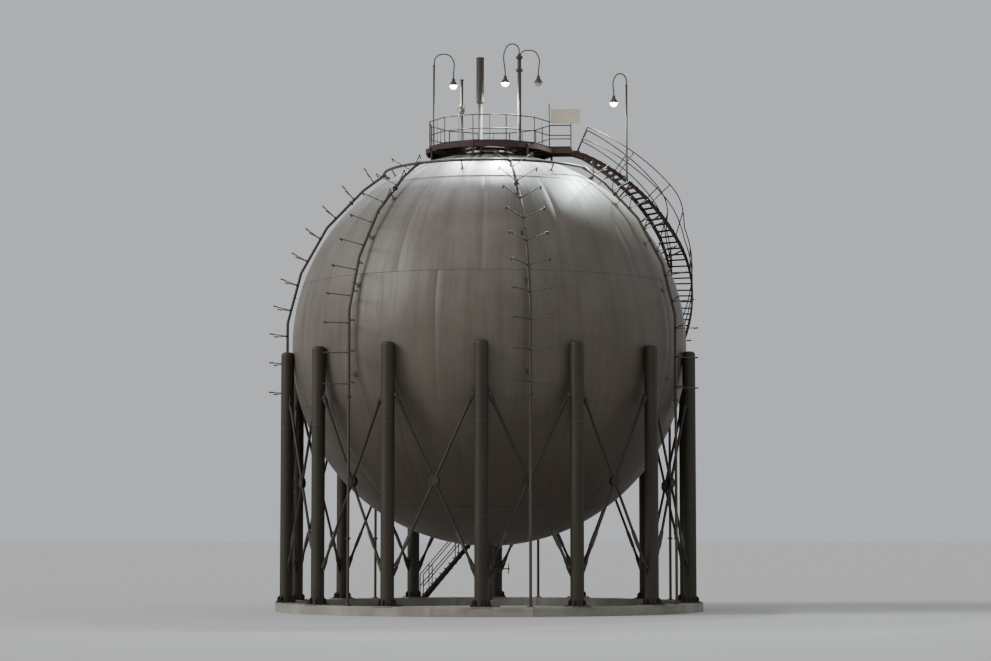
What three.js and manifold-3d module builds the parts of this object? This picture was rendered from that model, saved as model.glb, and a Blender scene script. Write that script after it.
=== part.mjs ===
// Spherical gas tank: a steel shell carried at its equator by a ring of pipe columns with crossed
// braces, with a platform on its crown, a stair that follows the shell, and drench pipework.
// Millimetres, +Z up. The origin is on the tank's axis at ground level. One column stands on -Y,
// and the stair leaves the platform towards +X.

import * as THREE from 'three';
import { mergeVertices } from 'three/addons/utils/BufferGeometryUtils.js';
import Module from 'manifold-3d';

const wasm = await Module();
wasm.setup();

// Shell
const SHELL_RADIUS = 8000;
const SHELL_PLATE = 40;
const EQUATOR_Z = 10600;
const BAYS = 14;
const BAY_ANGLE = 360 / BAYS;
const FACETS = 2 * BAYS;
const ZONES = ['bottom_cap', 'lower_zone', 'equator_belt', 'upper_zone', 'top_cap'];
const ZONE_SPAN = 180 / ZONES.length;
const ZONE_STEPS = 4;
const SEAT_GAP = 0.3;
const FLATNESS = 0.02;

// Ring footing, columns and braces
const RING_INNER = 7850;
const RING_OUTER = 8620;
const RING_HEIGHT = 350;
const COLUMN_CIRCLE = 8230;
const COLUMN_RADIUS = 265;
const COLUMN_SIDES = 8;
const COLUMN_TOP = EQUATOR_Z - 260;
const CAP_HEIGHT = 150;
const CAP_TAPER = 0.5;
const BASE_PLATE = 720;
const BASE_THICKNESS = 45;
const BRACE_RADIUS = 57;
const BRACE_HIGH_Z = EQUATOR_Z - 1600;
const BRACE_LOW_Z = 1150;
const LUG_REACH = 860;
const LUG_WIDTH = 230;
const LUG_THICKNESS = 32;

// Drench pipework
const RISERS = BAYS / 2;
const PIPE_RADIUS = 57;
const PIPE_SIDES = 6;
const RISER_CIRCLE = SHELL_RADIUS + 250;
const RISER_LENGTHS = 4;
const RISER_FLANGE = 150;
const RISER_FLANGE_HEIGHT = 25;
const SPRAY_PITCH = 1200;
const SPRAY_REACH = 1000;
const SPRAY_SPLAY = 50;
const SPRAY_RADIUS = 24;
const CLIP_SIZE = [60, 14];
const CLIP_DROP = 1500;
const HEADER_CIRCLE = 4300;
const HEADER_Z = EQUATOR_Z + 7150;
const LEG_RADIUS = 40;
const LEG_LENGTH = 600;

// Crown platform
const DECK_RADIUS = 2650;
const DECK_TOP = EQUATOR_Z + 8130;
const DECK_PLATE = 60;
const INSIDE_SHELL = EQUATOR_Z + 7000;
const DECK_BEAM = 180;
const DECK_RIM = 90;
const DECK_HOLE = 950;
const DECK_REACH = 3400;
const DECK_LEG_RADIUS = 50;
const DECK_LEG_CIRCLES = [DECK_RADIUS - 100, DECK_HOLE + 150];
const BEARER_SIZE = [60, 170];
const BEARER_LAP = 300;
const DECK_PANELS = 11;
const RAIL_HEIGHT = 1120;
const RAIL_BAR = 46;
const POST_RADIUS = 22;
const POST_SIDES = 3;
const POST_EVERY = 6;
const TOE_HEIGHT = 110;
const TALL_POST = 1870;
const GATE_MARGIN = 45;
const PANEL_SIZE = [1200, 8, 600];
const PANEL_X = 3120;
const PANEL_LIFT = 220;

// Fittings on the crown: each one's place along X, then its heights above the equator
const MANWAY_TOP = DECK_TOP + 260;
const MANWAY_RADIUS = 420;
const COVER_RADIUS = 620;
const COVER_HEIGHT = 140;
const VENT_X = -380;
const VENT_SIZES = { flange: 200, pipe: 90, drum: 160 };
const VENT_DRUM_Z = EQUATOR_Z + 10150;
const VENT_TOP = EQUATOR_Z + 12000;
const VALVE_X = -1130;
const VALVE_Z = EQUATOR_Z + 9800;
const VALVE_PIPE_TOP = EQUATOR_Z + 11100;
const VALVE_BODY = 150;
const WHEEL_RADIUS = 170;
const WHEEL_REACH = 440;
const DECK_LAMP = { x: -2280, reach: 800, top: EQUATOR_Z + 12200, shade: EQUATOR_Z + 10900 };
const STAIR_LAMP = { step: 7, reach: -520, top: EQUATOR_Z + 11300, shade: EQUATOR_Z + 10100 };
const MAST_X = 1230;
const MAST_TOP = EQUATOR_Z + 12150;
const MAST_RADIUS = 80;
const MAST_FLANGE = 140;
const MAST_FLANGES_Z = [EQUATOR_Z + 11420, EQUATOR_Z + 11950];
const MAST_SHADE = EQUATOR_Z + 11000;
const MAST_ARMS = [{ drop: 50, reach: -580, rise: 470 }, { drop: 300, reach: 780, rise: 450 }];
const LAMP_RISE = 520;
const LAMP_POLE = 40;
const LAMP_INSET = 5;
const LAMP_BRACKET = 300;
const LAMP_TUBE = 26;
const LAMP_FOOT = { radius: 110, height: 25 };
const MAST_FOOT = { radius: 190, height: 40 };
const MAST_FLANGE_HEIGHT = 100;
const SHADE_RADII = [180, 70];
const SHADE_HEIGHT = 190;

// Stair and landings
const WALK_WIDTH = 850;
const STAIR_RADIUS = 8820;
const STAIR_SWELL = 400;
const SWELL_LATITUDE = 60;
const STAIR_TURN = 0.45;
const TURN_SPAN = 8;
const STAIR_SLOPE = 52;
const PLUMB_LATITUDE = 44;
const PLUMB_SPAN = 16;
const STAIR_PROPS = [8, 14, 20];
const PROP_LENGTH = 1300;
const TREAD_PITCH = 300;
const TREAD_DEPTH = 250;
const TREAD_THICKNESS = 40;
const STRINGER_DEPTH = 200;
const STRINGER_WIDTH = 60;
const STRINGER_DROP = 60;
const SHOE_SIZE = [240, 130, 14];
const LANDING_INNER = 8560;
const LANDING_OUTER = 9740;
const LANDING_MIDDLE = (LANDING_INNER + LANDING_OUTER) / 2;
const LANDING_PLATE = 50;
const LANDING_HALF_ANGLE = 3.2;
const STAIR_COLUMN = 5;
const FLIGHTS = 3;
const FLIGHT_RISE = EQUATOR_Z / FLIGHTS;
const KNEE_DROP = 1100;
const KNEE_SPACING = 70;
const CANTILEVER_SIZE = [50, 110];
const KNEE_SIZE = [50, 80];

// Bottom outlet
const OUTLET_PLINTH = { radius: 460, top: 420 };
const OUTLET_RADIUS = 130;
const OUTLET_VALVE = { radius: 250, low: 1500, high: 1860 };
const OUTLET_FLANGE = { radius: 230, low: 2250, high: 2310 };
const BRANCH_Z = 1150;
const BRANCH_RADIUS = 110;
const BRANCH_FLANGE = 200;
const BRANCH_REACH = 750;

const UP = new THREE.Vector3(0, 0, 1);
const AXIS = new THREE.Vector3();
const BOX_AXES = [new THREE.Vector3(1, 0, 0), new THREE.Vector3(0, 1, 0), UP];
const radians = THREE.MathUtils.degToRad;
const degrees = THREE.MathUtils.radToDeg;
const seatAngle = (radius) => degrees(SEAT_GAP / radius);

// Paints, one each from the photograph
const paint = (color, roughness, metalness) => ({ color, roughness, metalness });
const SHELL_PAINT = paint(0xa9aaa4, 0.55, 0.25);
const COLUMN_PAINT = paint(0x5b5a50, 0.7, 0.2);
const BRACE_PAINT = paint(0x4f4e47, 0.7, 0.25);
const STAIR_PAINT = paint(0x5a4038, 0.75, 0.2);
const PIPE_PAINT = paint(0x6b6459, 0.65, 0.3);
const LAMP_PAINT = paint(0x77756e, 0.5, 0.4);
const PANEL_PAINT = paint(0xc9b795, 0.6, 0.0);
const CONCRETE = paint(0x8d8a82, 0.95, 0.0);

// A closed mesh becomes a solid that can be cut and joined, and turns back into a mesh
function toSolid(geometry) {
  const loose = geometry.index ? geometry.toNonIndexed() : geometry.clone();
  loose.deleteAttribute('normal');
  loose.deleteAttribute('uv');
  const merged = mergeVertices(loose, 0.001);
  const index = merged.index.array;
  const corners = [];
  for (let i = 0; i < index.length; i += 3) {
    const [a, b, c] = [index[i], index[i + 1], index[i + 2]];
    if (a !== b && b !== c && c !== a) corners.push(a, b, c);
  }
  return new wasm.Manifold(new wasm.Mesh({
    numProp: 3,
    vertProperties: Float32Array.from(merged.attributes.position.array),
    triVerts: Uint32Array.from(corners),
  }));
}

function toGeometry(solid) {
  const mesh = solid.asOriginal().simplify(FLATNESS).getMesh();
  const geometry = new THREE.BufferGeometry();
  geometry.setAttribute('position', new THREE.BufferAttribute(mesh.vertProperties, 3));
  geometry.setIndex(new THREE.BufferAttribute(mesh.triVerts, 1));
  return geometry;
}

const fuse = (solids) => solids.reduce((sum, solid) => sum.add(solid));

// Points and directions
const vector = (x, y, z) => new THREE.Vector3(x, y, z);
const polar = (radius, azimuth, z) => vector(
  radius * Math.cos(radians(azimuth)), radius * Math.sin(radians(azimuth)), z);
const outward = (azimuth) => polar(1, azimuth, 0);
const moved = (point, direction, distance) => point.clone().addScaledVector(direction, distance);
const lifted = (point, height) => moved(point, UP, height);
const towardsCentre = (point) => vector(0, 0, EQUATOR_Z).sub(point).normalize();

// A box whose own axes lie along the given directions
function turnedBox(size, centre, xAxis, yAxis, zAxis) {
  const matrix = new THREE.Matrix4().makeBasis(xAxis, yAxis, zAxis).setPosition(centre);
  return toSolid(new THREE.BoxGeometry(...size).applyMatrix4(matrix));
}

// A flat bar from point a to point b, its height in the vertical plane that holds them
function beam(a, b, thickness, height) {
  const along = b.clone().sub(a).normalize();
  const side = new THREE.Vector3().crossVectors(UP, along).normalize();
  const top = new THREE.Vector3().crossVectors(along, side);
  return turnedBox([a.distanceTo(b), thickness, height], a.clone().lerp(b, 0.5), along, side, top);
}

// A straight bar of few sides from point a to point b, with a flat of a six-sided one facing a way
function bar(a, b, radius, sides, facing = UP) {
  const along = b.clone().sub(a).normalize();
  const hint = Math.abs(facing.dot(along)) > 0.95 ? vector(1, 0, 0) : facing;
  const side = new THREE.Vector3().crossVectors(hint, along).normalize();
  const front = new THREE.Vector3().crossVectors(along, side);
  const matrix = new THREE.Matrix4().makeBasis(front, along, side).setPosition(a.clone().lerp(b, 0.5));
  return toSolid(new THREE.CylinderGeometry(radius, radius, a.distanceTo(b), sides).applyMatrix4(matrix));
}

// An upright round piece between two heights, turned so that a flat side can face outwards
function drum(centre, radius, z0, z1, sides, topRadius = radius, turn = 0) {
  const geometry = new THREE.CylinderGeometry(topRadius, radius, z1 - z0, sides);
  geometry.rotateX(Math.PI / 2).rotateZ(radians(turn));
  return toSolid(geometry.translate(centre.x, centre.y, (z0 + z1) / 2));
}

// A box that stands on height z with its first side facing outwards
function block(radius, azimuth, z, depth, width, height) {
  const centre = polar(radius, azimuth, z + height / 2);
  return turnedBox([depth, width, height], centre, outward(azimuth), outward(azimuth + 90), UP);
}

// A bar of box section along a path, with plumb ends and mitred corners
function sweep(points, width, height, ends = {}) {
  const runs = points.length - 1;
  const geometry = new THREE.BoxGeometry(runs, width, height, runs, 1, 1);
  const position = geometry.attributes.position;
  const level = (a, b) => b.clone().sub(a).setZ(0).normalize();
  const across = points.map((point, i) => {
    const before = level(points[Math.max(0, i - 1)], point);
    const along = before.add(level(point, points[Math.min(runs, i + 1)]));
    const stretch = i === 0 || i === runs ? 1 : 2 / along.length();
    return new THREE.Vector3().crossVectors(UP, along.normalize()).multiplyScalar(stretch);
  });
  if (ends.first) across[0] = ends.first;
  if (ends.last) across[runs] = ends.last;
  for (let i = 0; i < position.count; i += 1) {
    const station = Math.round(position.getX(i) + runs / 2);
    const place = moved(points[station], across[station], position.getY(i));
    position.setXYZ(i, place.x, place.y, place.z + position.getZ(i));
  }
  return toSolid(geometry);
}

// A pipe of few sides with mitred bends, in a plane whose normal is side
function pipe(points, radius, sides, side) {
  const runs = points.length - 1;
  const geometry = new THREE.CylinderGeometry(radius, radius, runs, sides, runs);
  const position = geometry.attributes.position;
  const front = points.map((point, i) => {
    const before = point.clone().sub(points[Math.max(0, i - 1)]).normalize();
    const along = before.add(points[Math.min(runs, i + 1)].clone().sub(point).normalize());
    const stretch = i === 0 || i === runs ? 1 : 2 / along.length();
    return new THREE.Vector3().crossVectors(along.normalize(), side).multiplyScalar(stretch);
  });
  for (let i = 0; i < position.count; i += 1) {
    const station = Math.round(position.getY(i) + runs / 2);
    const place = moved(moved(points[station], front[station], position.getX(i)), side, position.getZ(i));
    position.setXYZ(i, place.x, place.y, place.z);
  }
  return toSolid(geometry);
}

// A round tube along a smooth curve through the points
function tube(points, radius, sides, steps) {
  const corners = Array.from({ length: sides }, (_, i) => new THREE.Vector2(
    radius * Math.cos((2 * Math.PI * i) / sides), radius * Math.sin((2 * Math.PI * i) / sides)));
  const extrudePath = new THREE.CatmullRomCurve3(points);
  const options = { steps, extrudePath, bevelEnabled: false };
  return toSolid(new THREE.ExtrudeGeometry(new THREE.Shape(corners), options));
}

// A body turned about the tank's axis from a profile of [radius, height] pairs
function turned(profile, facets) {
  const points = profile.map(([radius, z]) => new THREE.Vector2(radius, z));
  return toSolid(new THREE.LatheGeometry(points, facets).rotateX(Math.PI / 2));
}

// Shell zones
function onSphere(radius, latitude) {
  const reach = Math.abs(latitude) === 90 ? 0 : radius * Math.cos(radians(latitude));
  return [reach, EQUATOR_Z + radius * Math.sin(radians(latitude))];
}

function arc(radius, from, to, steps) {
  return Array.from({ length: steps + 1 }, (_, i) => onSphere(radius, from + ((to - from) * i) / steps));
}

// The profile of a cap starts and ends on the axis, and that of a zone between caps closes on itself
function shellZone(i) {
  const from = -90 + ZONE_SPAN * i;
  const low = i === 0 ? from : from + seatAngle(SHELL_RADIUS) / 2;
  const high = i === ZONES.length - 1 ? 90 : from + ZONE_SPAN - seatAngle(SHELL_RADIUS) / 2;
  const outer = arc(SHELL_RADIUS, low, high, ZONE_STEPS);
  const inner = arc(SHELL_RADIUS - SHELL_PLATE, high, low, ZONE_STEPS);
  if (i === 0) return turned([...outer, ...inner], FACETS);
  if (i === ZONES.length - 1) return turned([...inner, ...outer], FACETS);
  return turned([...outer, ...inner, outer[0]], FACETS);
}

// The outside of the shell, a weld gap larger, trims whatever is welded to it
const BALL = turned(arc(SHELL_RADIUS + SEAT_GAP, -90, 90, ZONES.length * ZONE_STEPS), FACETS);

function foundationRing() {
  const profile = [[RING_INNER, 0], [RING_OUTER, 0], [RING_OUTER, RING_HEIGHT], [RING_INNER, RING_HEIGHT]];
  return turned([...profile, profile[0]], FACETS);
}

// Columns and braces
const columnAzimuth = (i) => -90 + BAY_ANGLE * i;

function braceAxis(i, z0, z1) {
  const a = polar(COLUMN_CIRCLE, columnAzimuth(i), z0);
  const b = polar(COLUMN_CIRCLE, columnAzimuth(i + 1), z1);
  return { a, b, along: b.clone().sub(a).normalize() };
}

function braceLugs(i) {
  const axes = [
    braceAxis(i, BRACE_HIGH_Z, BRACE_LOW_Z),
    braceAxis(i, BRACE_LOW_Z, BRACE_HIGH_Z),
  ].map(({ a, along }) => [a, along]);
  const behind = [
    braceAxis(i - 1, BRACE_HIGH_Z, BRACE_LOW_Z),
    braceAxis(i - 1, BRACE_LOW_Z, BRACE_HIGH_Z),
  ].map(({ b, along }) => [b, along.negate()]);
  return [...axes, ...behind].map(([start, along]) => (
    beam(start, moved(start, along, LUG_REACH), LUG_THICKNESS, LUG_WIDTH)));
}

function column(i) {
  const azimuth = columnAzimuth(i);
  const centre = polar(COLUMN_CIRCLE, azimuth, 0);
  const turn = azimuth + 180 / COLUMN_SIDES;
  const foot = RING_HEIGHT + SEAT_GAP;
  const neck = COLUMN_TOP - CAP_HEIGHT;
  return fuse([
    drum(centre, COLUMN_RADIUS, foot, neck, COLUMN_SIDES, COLUMN_RADIUS, turn),
    drum(centre, COLUMN_RADIUS, neck, COLUMN_TOP, COLUMN_SIDES, CAP_TAPER * COLUMN_RADIUS, turn),
    block(COLUMN_CIRCLE, azimuth, foot, BASE_PLATE, BASE_PLATE, BASE_THICKNESS),
    ...braceLugs(i),
  ]).subtract(BALL);
}

function brace(i) {
  const rods = [
    braceAxis(i, BRACE_HIGH_Z, BRACE_LOW_Z),
    braceAxis(i, BRACE_LOW_Z, BRACE_HIGH_Z),
  ].map(({ a, b, along }) => {
    const inset = LUG_REACH + SEAT_GAP;
    const facing = outward(columnAzimuth(i + 0.5));
    return bar(moved(a, along, inset), moved(b, along, -inset), BRACE_RADIUS, PIPE_SIDES, facing);
  });
  return fuse(rods);
}

// Stair path: it leaves the platform square, turns a little, and where the shell falls away steeper
// than the stair may, it winds round at a steady slope
function stairPath() {
  const samples = [];
  const step = 0.25;
  const topLatitude = degrees(Math.asin((DECK_TOP - EQUATOR_Z) / STAIR_RADIUS));
  let azimuth = 0;
  for (let latitude = topLatitude; latitude > 0; latitude -= step) {
    const winding = 1 / Math.tan(radians(STAIR_SLOPE)) ** 2 - Math.tan(radians(latitude)) ** 2;
    const turn = STAIR_TURN * Math.min(1, (topLatitude - latitude) / TURN_SPAN);
    azimuth += step * Math.sqrt(Math.max(turn ** 2, winding));
    const swell = STAIR_SWELL * Math.max(0, 1 - latitude / SWELL_LATITUDE);
    const reach = (STAIR_RADIUS + swell) * Math.cos(radians(latitude));
    const z = EQUATOR_Z + STAIR_RADIUS * Math.sin(radians(latitude));
    const plumb = Math.min(1, Math.max(0, (PLUMB_LATITUDE - latitude) / PLUMB_SPAN));
    samples.push({ azimuth, plumb, point: polar(reach, azimuth, z) });
  }
  return samples;
}

const STAIR_SAMPLES = stairPath();
const LANDING_START = STAIR_SAMPLES.at(-1).azimuth + 0.3;
const LANDING_END = columnAzimuth(STAIR_COLUMN) + LANDING_HALF_ANGLE;
const flightStart = (i) => LANDING_END + BAY_ANGLE * i;
const flightEnd = (i) => flightStart(i + 1) - 2 * LANDING_HALF_ANGLE;

// Steps at even distances along the path, each with its level heading and the lean of its posts
function stepsAlong(samples) {
  const steps = [];
  let walked = TREAD_PITCH / 2;
  for (let i = 1; i < samples.length; i += 1) {
    const { point, plumb } = samples[i];
    walked += point.distanceTo(samples[i - 1].point);
    if (walked < TREAD_PITCH) continue;
    walked -= TREAD_PITCH;
    const heading = point.clone().sub(samples[i - 1].point).setZ(0).normalize();
    const across = new THREE.Vector3().crossVectors(UP, heading);
    const lean = towardsCentre(point).negate().lerp(UP, plumb).normalize();
    steps.push({ point, heading, across, lean });
  }
  return steps;
}

function tread({ point, heading, across }) {
  const size = [TREAD_DEPTH, WALK_WIDTH, TREAD_THICKNESS];
  return turnedBox(size, lifted(point, -TREAD_THICKNESS / 2), heading, across, UP);
}

const beside = (step, side, height) => (
  lifted(moved(step.point, step.across, side * (WALK_WIDTH / 2)), height));

// A stringer bends between treads, once to every third, from its head's seat to its foot's seat
function stringer(steps, side, head, foot) {
  const line = steps.map((step) => beside(step, side, -STRINGER_DROP));
  const bends = line.map((point, i) => point.clone().lerp(line[Math.min(i + 1, line.length - 1)], 0.5));
  const points = [head.point, ...bends.filter((_, i) => i % 3 === 1 && i < line.length - 1), foot.point];
  return sweep(points, STRINGER_WIDTH, STRINGER_DEPTH, { first: head.across, last: foot.across });
}

function handrail(steps, side) {
  const stops = steps.filter((_, i) => i % POST_EVERY === 0);
  if (steps.length % POST_EVERY !== 1) stops.push(steps.at(-1));
  const along = (height) => stops.map((step) => moved(beside(step, side, -STRINGER_DROP), step.lean, height));
  const top = along(RAIL_HEIGHT);
  const posts = stops.map((step, i) => (
    bar(beside(step, side, -STRINGER_DROP), top[i], POST_RADIUS, POST_SIDES, step.across)));
  const rails = [top, along(RAIL_HEIGHT * 0.55)].map((line) => sweep(line, RAIL_BAR, RAIL_BAR));
  return fuse([...posts, ...rails]);
}

const STAIR_STEPS = stepsAlong(STAIR_SAMPLES);

function upperStair() {
  const steps = STAIR_STEPS;
  const foot = STAIR_SAMPLES.at(-1);
  const reach = Math.hypot(foot.point.x, foot.point.y);
  const sides = [-1, 1].map((side) => {
    const head = vector(DECK_REACH + SEAT_GAP, side * (WALK_WIDTH / 2), DECK_TOP - 2 * STRINGER_DROP);
    const end = polar(reach - side * (WALK_WIDTH / 2), LANDING_START - seatAngle(LANDING_MIDDLE),
      EQUATOR_Z - STRINGER_DROP);
    const across = outward(foot.azimuth + 180);
    return stringer(steps, side, { point: head, across: vector(0, 1, 0) }, { point: end, across });
  });
  const props = STAIR_PROPS.flatMap((i) => [-1, 1].map((side) => {
    const top = beside(steps[i], side, -2 * STRINGER_DROP);
    return bar(top, moved(top, towardsCentre(top), PROP_LENGTH), LEG_RADIUS, 4).subtract(BALL);
  }));
  return fuse([...steps.map(tread), ...sides, ...[-1, 1].map((side) => handrail(steps, side)), ...props]);
}

// A lower flight is straight, and the last one stops where its stringers meet the ground
function flightLine(i) {
  const top = polar(LANDING_MIDDLE, flightStart(i), EQUATOR_Z - FLIGHT_RISE * i);
  const bottom = polar(LANDING_MIDDLE, flightEnd(i), top.z - FLIGHT_RISE);
  if (i < FLIGHTS - 1) return [top, bottom];
  return [top, top.clone().lerp(bottom, 1 - (STRINGER_DEPTH / 2 + STRINGER_DROP) / FLIGHT_RISE)];
}

function lowerFlight(i) {
  const [top, bottom] = flightLine(i);
  const heading = bottom.clone().sub(top).setZ(0).normalize();
  const across = new THREE.Vector3().crossVectors(UP, heading);
  const count = Math.round(top.distanceTo(bottom) / TREAD_PITCH);
  const steps = Array.from({ length: count }, (_, k) => (
    { point: top.clone().lerp(bottom, (k + 0.5) / count), heading, across, lean: UP }));
  const isLast = i === FLIGHTS - 1;
  const seat = seatAngle(LANDING_MIDDLE);
  const solids = steps.map(tread);
  [-1, 1].forEach((side) => {
    const reach = LANDING_MIDDLE - side * (WALK_WIDTH / 2);
    const head = polar(reach, flightStart(i) + seat, top.z - STRINGER_DROP);
    const foot = isLast
      ? moved(bottom, across, side * (WALK_WIDTH / 2)).setZ(STRINGER_DEPTH / 2)
      : polar(reach, flightEnd(i) - seat, bottom.z - STRINGER_DROP);
    const last = isLast ? across : outward(flightEnd(i) + 180);
    const ends = { first: outward(flightStart(i) + 180), last };
    solids.push(sweep([head, foot], STRINGER_WIDTH, STRINGER_DEPTH, ends), handrail(steps, side));
    const shoe = moved(foot, heading, -90).setZ(SHOE_SIZE[2] / 2);
    if (isLast) solids.push(turnedBox(SHOE_SIZE, shoe, heading, across, UP));
  });
  return fuse(solids);
}

// Landings, each on a bracket of the column beside it
function landingPlate(from, to, z) {
  const shape = new THREE.Shape();
  shape.absarc(0, 0, LANDING_OUTER, radians(from), radians(to), false);
  shape.absarc(0, 0, LANDING_INNER, radians(to), radians(from), true);
  const options = { depth: LANDING_PLATE, bevelEnabled: false, curveSegments: 2 };
  return toSolid(new THREE.ExtrudeGeometry(shape, options).translate(0, 0, z - LANDING_PLATE));
}

function landing(i) {
  const azimuth = columnAzimuth(STAIR_COLUMN + i);
  const from = i === 0 ? LANDING_START : flightEnd(i - 1);
  const to = flightStart(i);
  const z = EQUATOR_Z - FLIGHT_RISE * i;
  const face = COLUMN_CIRCLE + COLUMN_RADIUS * Math.cos(Math.PI / COLUMN_SIDES) + SEAT_GAP;
  const clamp = block(face + 10, azimuth, z - KNEE_DROP - 100, 20, 200, KNEE_DROP);
  const solids = [landingPlate(from, to, z), clamp];
  [-KNEE_SPACING, KNEE_SPACING].forEach((shift) => {
    const aside = (radius, height) => moved(polar(radius, azimuth, height), outward(azimuth + 90), shift);
    solids.push(beam(aside(face, z - 100), aside(LANDING_OUTER - 40, z - 100), ...CANTILEVER_SIZE));
    solids.push(beam(aside(face + 50, z - KNEE_DROP), aside(LANDING_OUTER - 150, z - 110), ...KNEE_SIZE));
  });
  const rim = [from + 0.4, (from + to) / 2, to - 0.4];
  const along = (height) => rim.map((angle) => polar(LANDING_OUTER - 50, angle, z + height));
  along(-20).forEach((foot) => solids.push(bar(foot, lifted(foot, RAIL_HEIGHT), POST_RADIUS, POST_SIDES)));
  [RAIL_HEIGHT - 30, RAIL_HEIGHT / 2].forEach((height) => {
    solids.push(sweep(along(height), RAIL_BAR, RAIL_BAR));
  });
  return fuse(solids);
}

// Drench risers: plumb to the equator, then over the shell's shoulder in straight lengths that all
// touch one circle, and into a ring round the crown
const riserAzimuth = (i) => -180 + (360 / RISERS) * i;
const LENGTH_SPAN = degrees(Math.atan2(HEADER_Z - EQUATOR_Z, HEADER_CIRCLE)) / RISER_LENGTHS;

function overShell(azimuth, latitude, reach = RISER_CIRCLE) {
  const [radius, z] = onSphere(reach, latitude);
  return polar(radius, azimuth, z);
}

// Whether a spray arm's end would be in the way of someone on the stair
function meetsStair(point) {
  const azimuth = degrees(Math.atan2(point.y, point.x));
  if (azimuth < 0 || azimuth > flightStart(FLIGHTS)) return false;
  const sample = STAIR_SAMPLES.find((candidate) => candidate.azimuth >= azimuth);
  const share = (azimuth - LANDING_END) / (flightStart(FLIGHTS) - LANDING_END);
  const walk = sample ? sample.point.z : EQUATOR_Z * (1 - share);
  return point.z > walk - 600 && point.z < walk + 2400;
}

// A pair of spray arms, splayed to both sides, without those that would meet someone on the stair
function sprayArms(azimuth, root) {
  const away = root.z < EQUATOR_Z ? outward(azimuth) : towardsCentre(root).negate();
  const tips = [-1, 1].map((side) => moved(root, away, SPRAY_REACH * Math.cos(radians(SPRAY_SPLAY)))
    .addScaledVector(outward(azimuth + 90), side * SPRAY_REACH * Math.sin(radians(SPRAY_SPLAY))));
  return tips.filter((tip) => !meetsStair(root) && !meetsStair(tip))
    .map((tip) => bar(root, tip, SPRAY_RADIUS, 3));
}

const headerProfile = (grow) => Array.from({ length: PIPE_SIDES + 1 }, (_, i) => {
  const angle = (2 * Math.PI * (i + 0.5)) / PIPE_SIDES;
  const radius = PIPE_RADIUS + grow;
  return [HEADER_CIRCLE + radius * Math.cos(angle), HEADER_Z + radius * Math.sin(angle)];
});

function riser(i) {
  const azimuth = riserAzimuth(i);
  const foot = polar(RISER_CIRCLE, azimuth, RING_HEIGHT + SEAT_GAP);
  const bendReach = RISER_CIRCLE / Math.cos(radians(LENGTH_SPAN / 2));
  const lengths = Array.from({ length: RISER_LENGTHS }, (_, k) => k * LENGTH_SPAN);
  const bends = lengths.map((latitude) => overShell(azimuth, latitude + LENGTH_SPAN / 2, bendReach));
  const end = polar(HEADER_CIRCLE, azimuth, HEADER_Z).lerp(bends.at(-1), 0.03);
  const roots = [-1.5, -0.5].map((step) => polar(RISER_CIRCLE, azimuth, EQUATOR_Z + step * SPRAY_PITCH));
  lengths.forEach((latitude) => [0.25, 0.75].forEach((share) => {
    roots.push(overShell(azimuth, latitude + share * LENGTH_SPAN, RISER_CIRCLE + PIPE_RADIUS / 4));
  }));
  const grips = lengths.slice(1).map((latitude) => overShell(azimuth, latitude));
  const clips = [polar(RISER_CIRCLE, azimuth, EQUATOR_Z - CLIP_DROP), ...grips].map((grip) => (
    beam(grip, moved(grip, towardsCentre(grip), 2 * (RISER_CIRCLE - SHELL_RADIUS)), ...CLIP_SIZE)
      .subtract(BALL)));
  return fuse([
    drum(foot, RISER_FLANGE, foot.z, foot.z + RISER_FLANGE_HEIGHT, PIPE_SIDES, RISER_FLANGE, azimuth),
    pipe([foot, ...bends, end], PIPE_RADIUS, PIPE_SIDES, outward(azimuth + 90)),
    ...roots.flatMap((root) => sprayArms(azimuth, root)), ...clips,
  ]).subtract(turned(headerProfile(SEAT_GAP), FACETS));
}

function header() {
  const legs = Array.from({ length: RISERS }, (_, i) => {
    const top = polar(HEADER_CIRCLE, riserAzimuth(i) + BAY_ANGLE, HEADER_Z);
    return bar(top, moved(top, towardsCentre(top), LEG_LENGTH), LEG_RADIUS, 4).subtract(BALL);
  });
  return fuse([turned(headerProfile(0), FACETS), ...legs]);
}

// Crown platform and what stands on it
function deck() {
  const under = DECK_TOP - DECK_PLATE / 2;
  const rim = drum(AXIS, DECK_RADIUS, DECK_TOP - DECK_BEAM, under, BAYS)
    .subtract(drum(AXIS, DECK_RADIUS - DECK_RIM, DECK_TOP - 2 * DECK_BEAM, under, BAYS));
  const legs = Array.from({ length: RISERS }, (_, i) => riserAzimuth(i) + BAY_ANGLE).flatMap((azimuth) => (
    DECK_LEG_CIRCLES.map((radius) => (
      bar(polar(radius, azimuth, under), polar(radius, azimuth, INSIDE_SHELL), DECK_LEG_RADIUS, 4)))));
  const bearers = [-1, 1].map((side) => {
    const middle = DECK_TOP - DECK_PLATE / 2 - BEARER_SIZE[1] / 2;
    const start = vector(DECK_RADIUS - BEARER_LAP, side * (WALK_WIDTH / 2), middle);
    return beam(start, start.clone().setX(DECK_REACH), ...BEARER_SIZE);
  });
  return fuse([
    drum(AXIS, DECK_RADIUS, DECK_TOP - DECK_PLATE, DECK_TOP, BAYS),
    block(DECK_REACH - 700, 0, DECK_TOP - DECK_PLATE, 1400, WALK_WIDTH + 200, DECK_PLATE),
    rim, ...bearers, ...legs,
  ]).subtract(drum(AXIS, DECK_HOLE, DECK_TOP - 800, DECK_TOP + 100, BAYS)).subtract(BALL);
}

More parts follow.
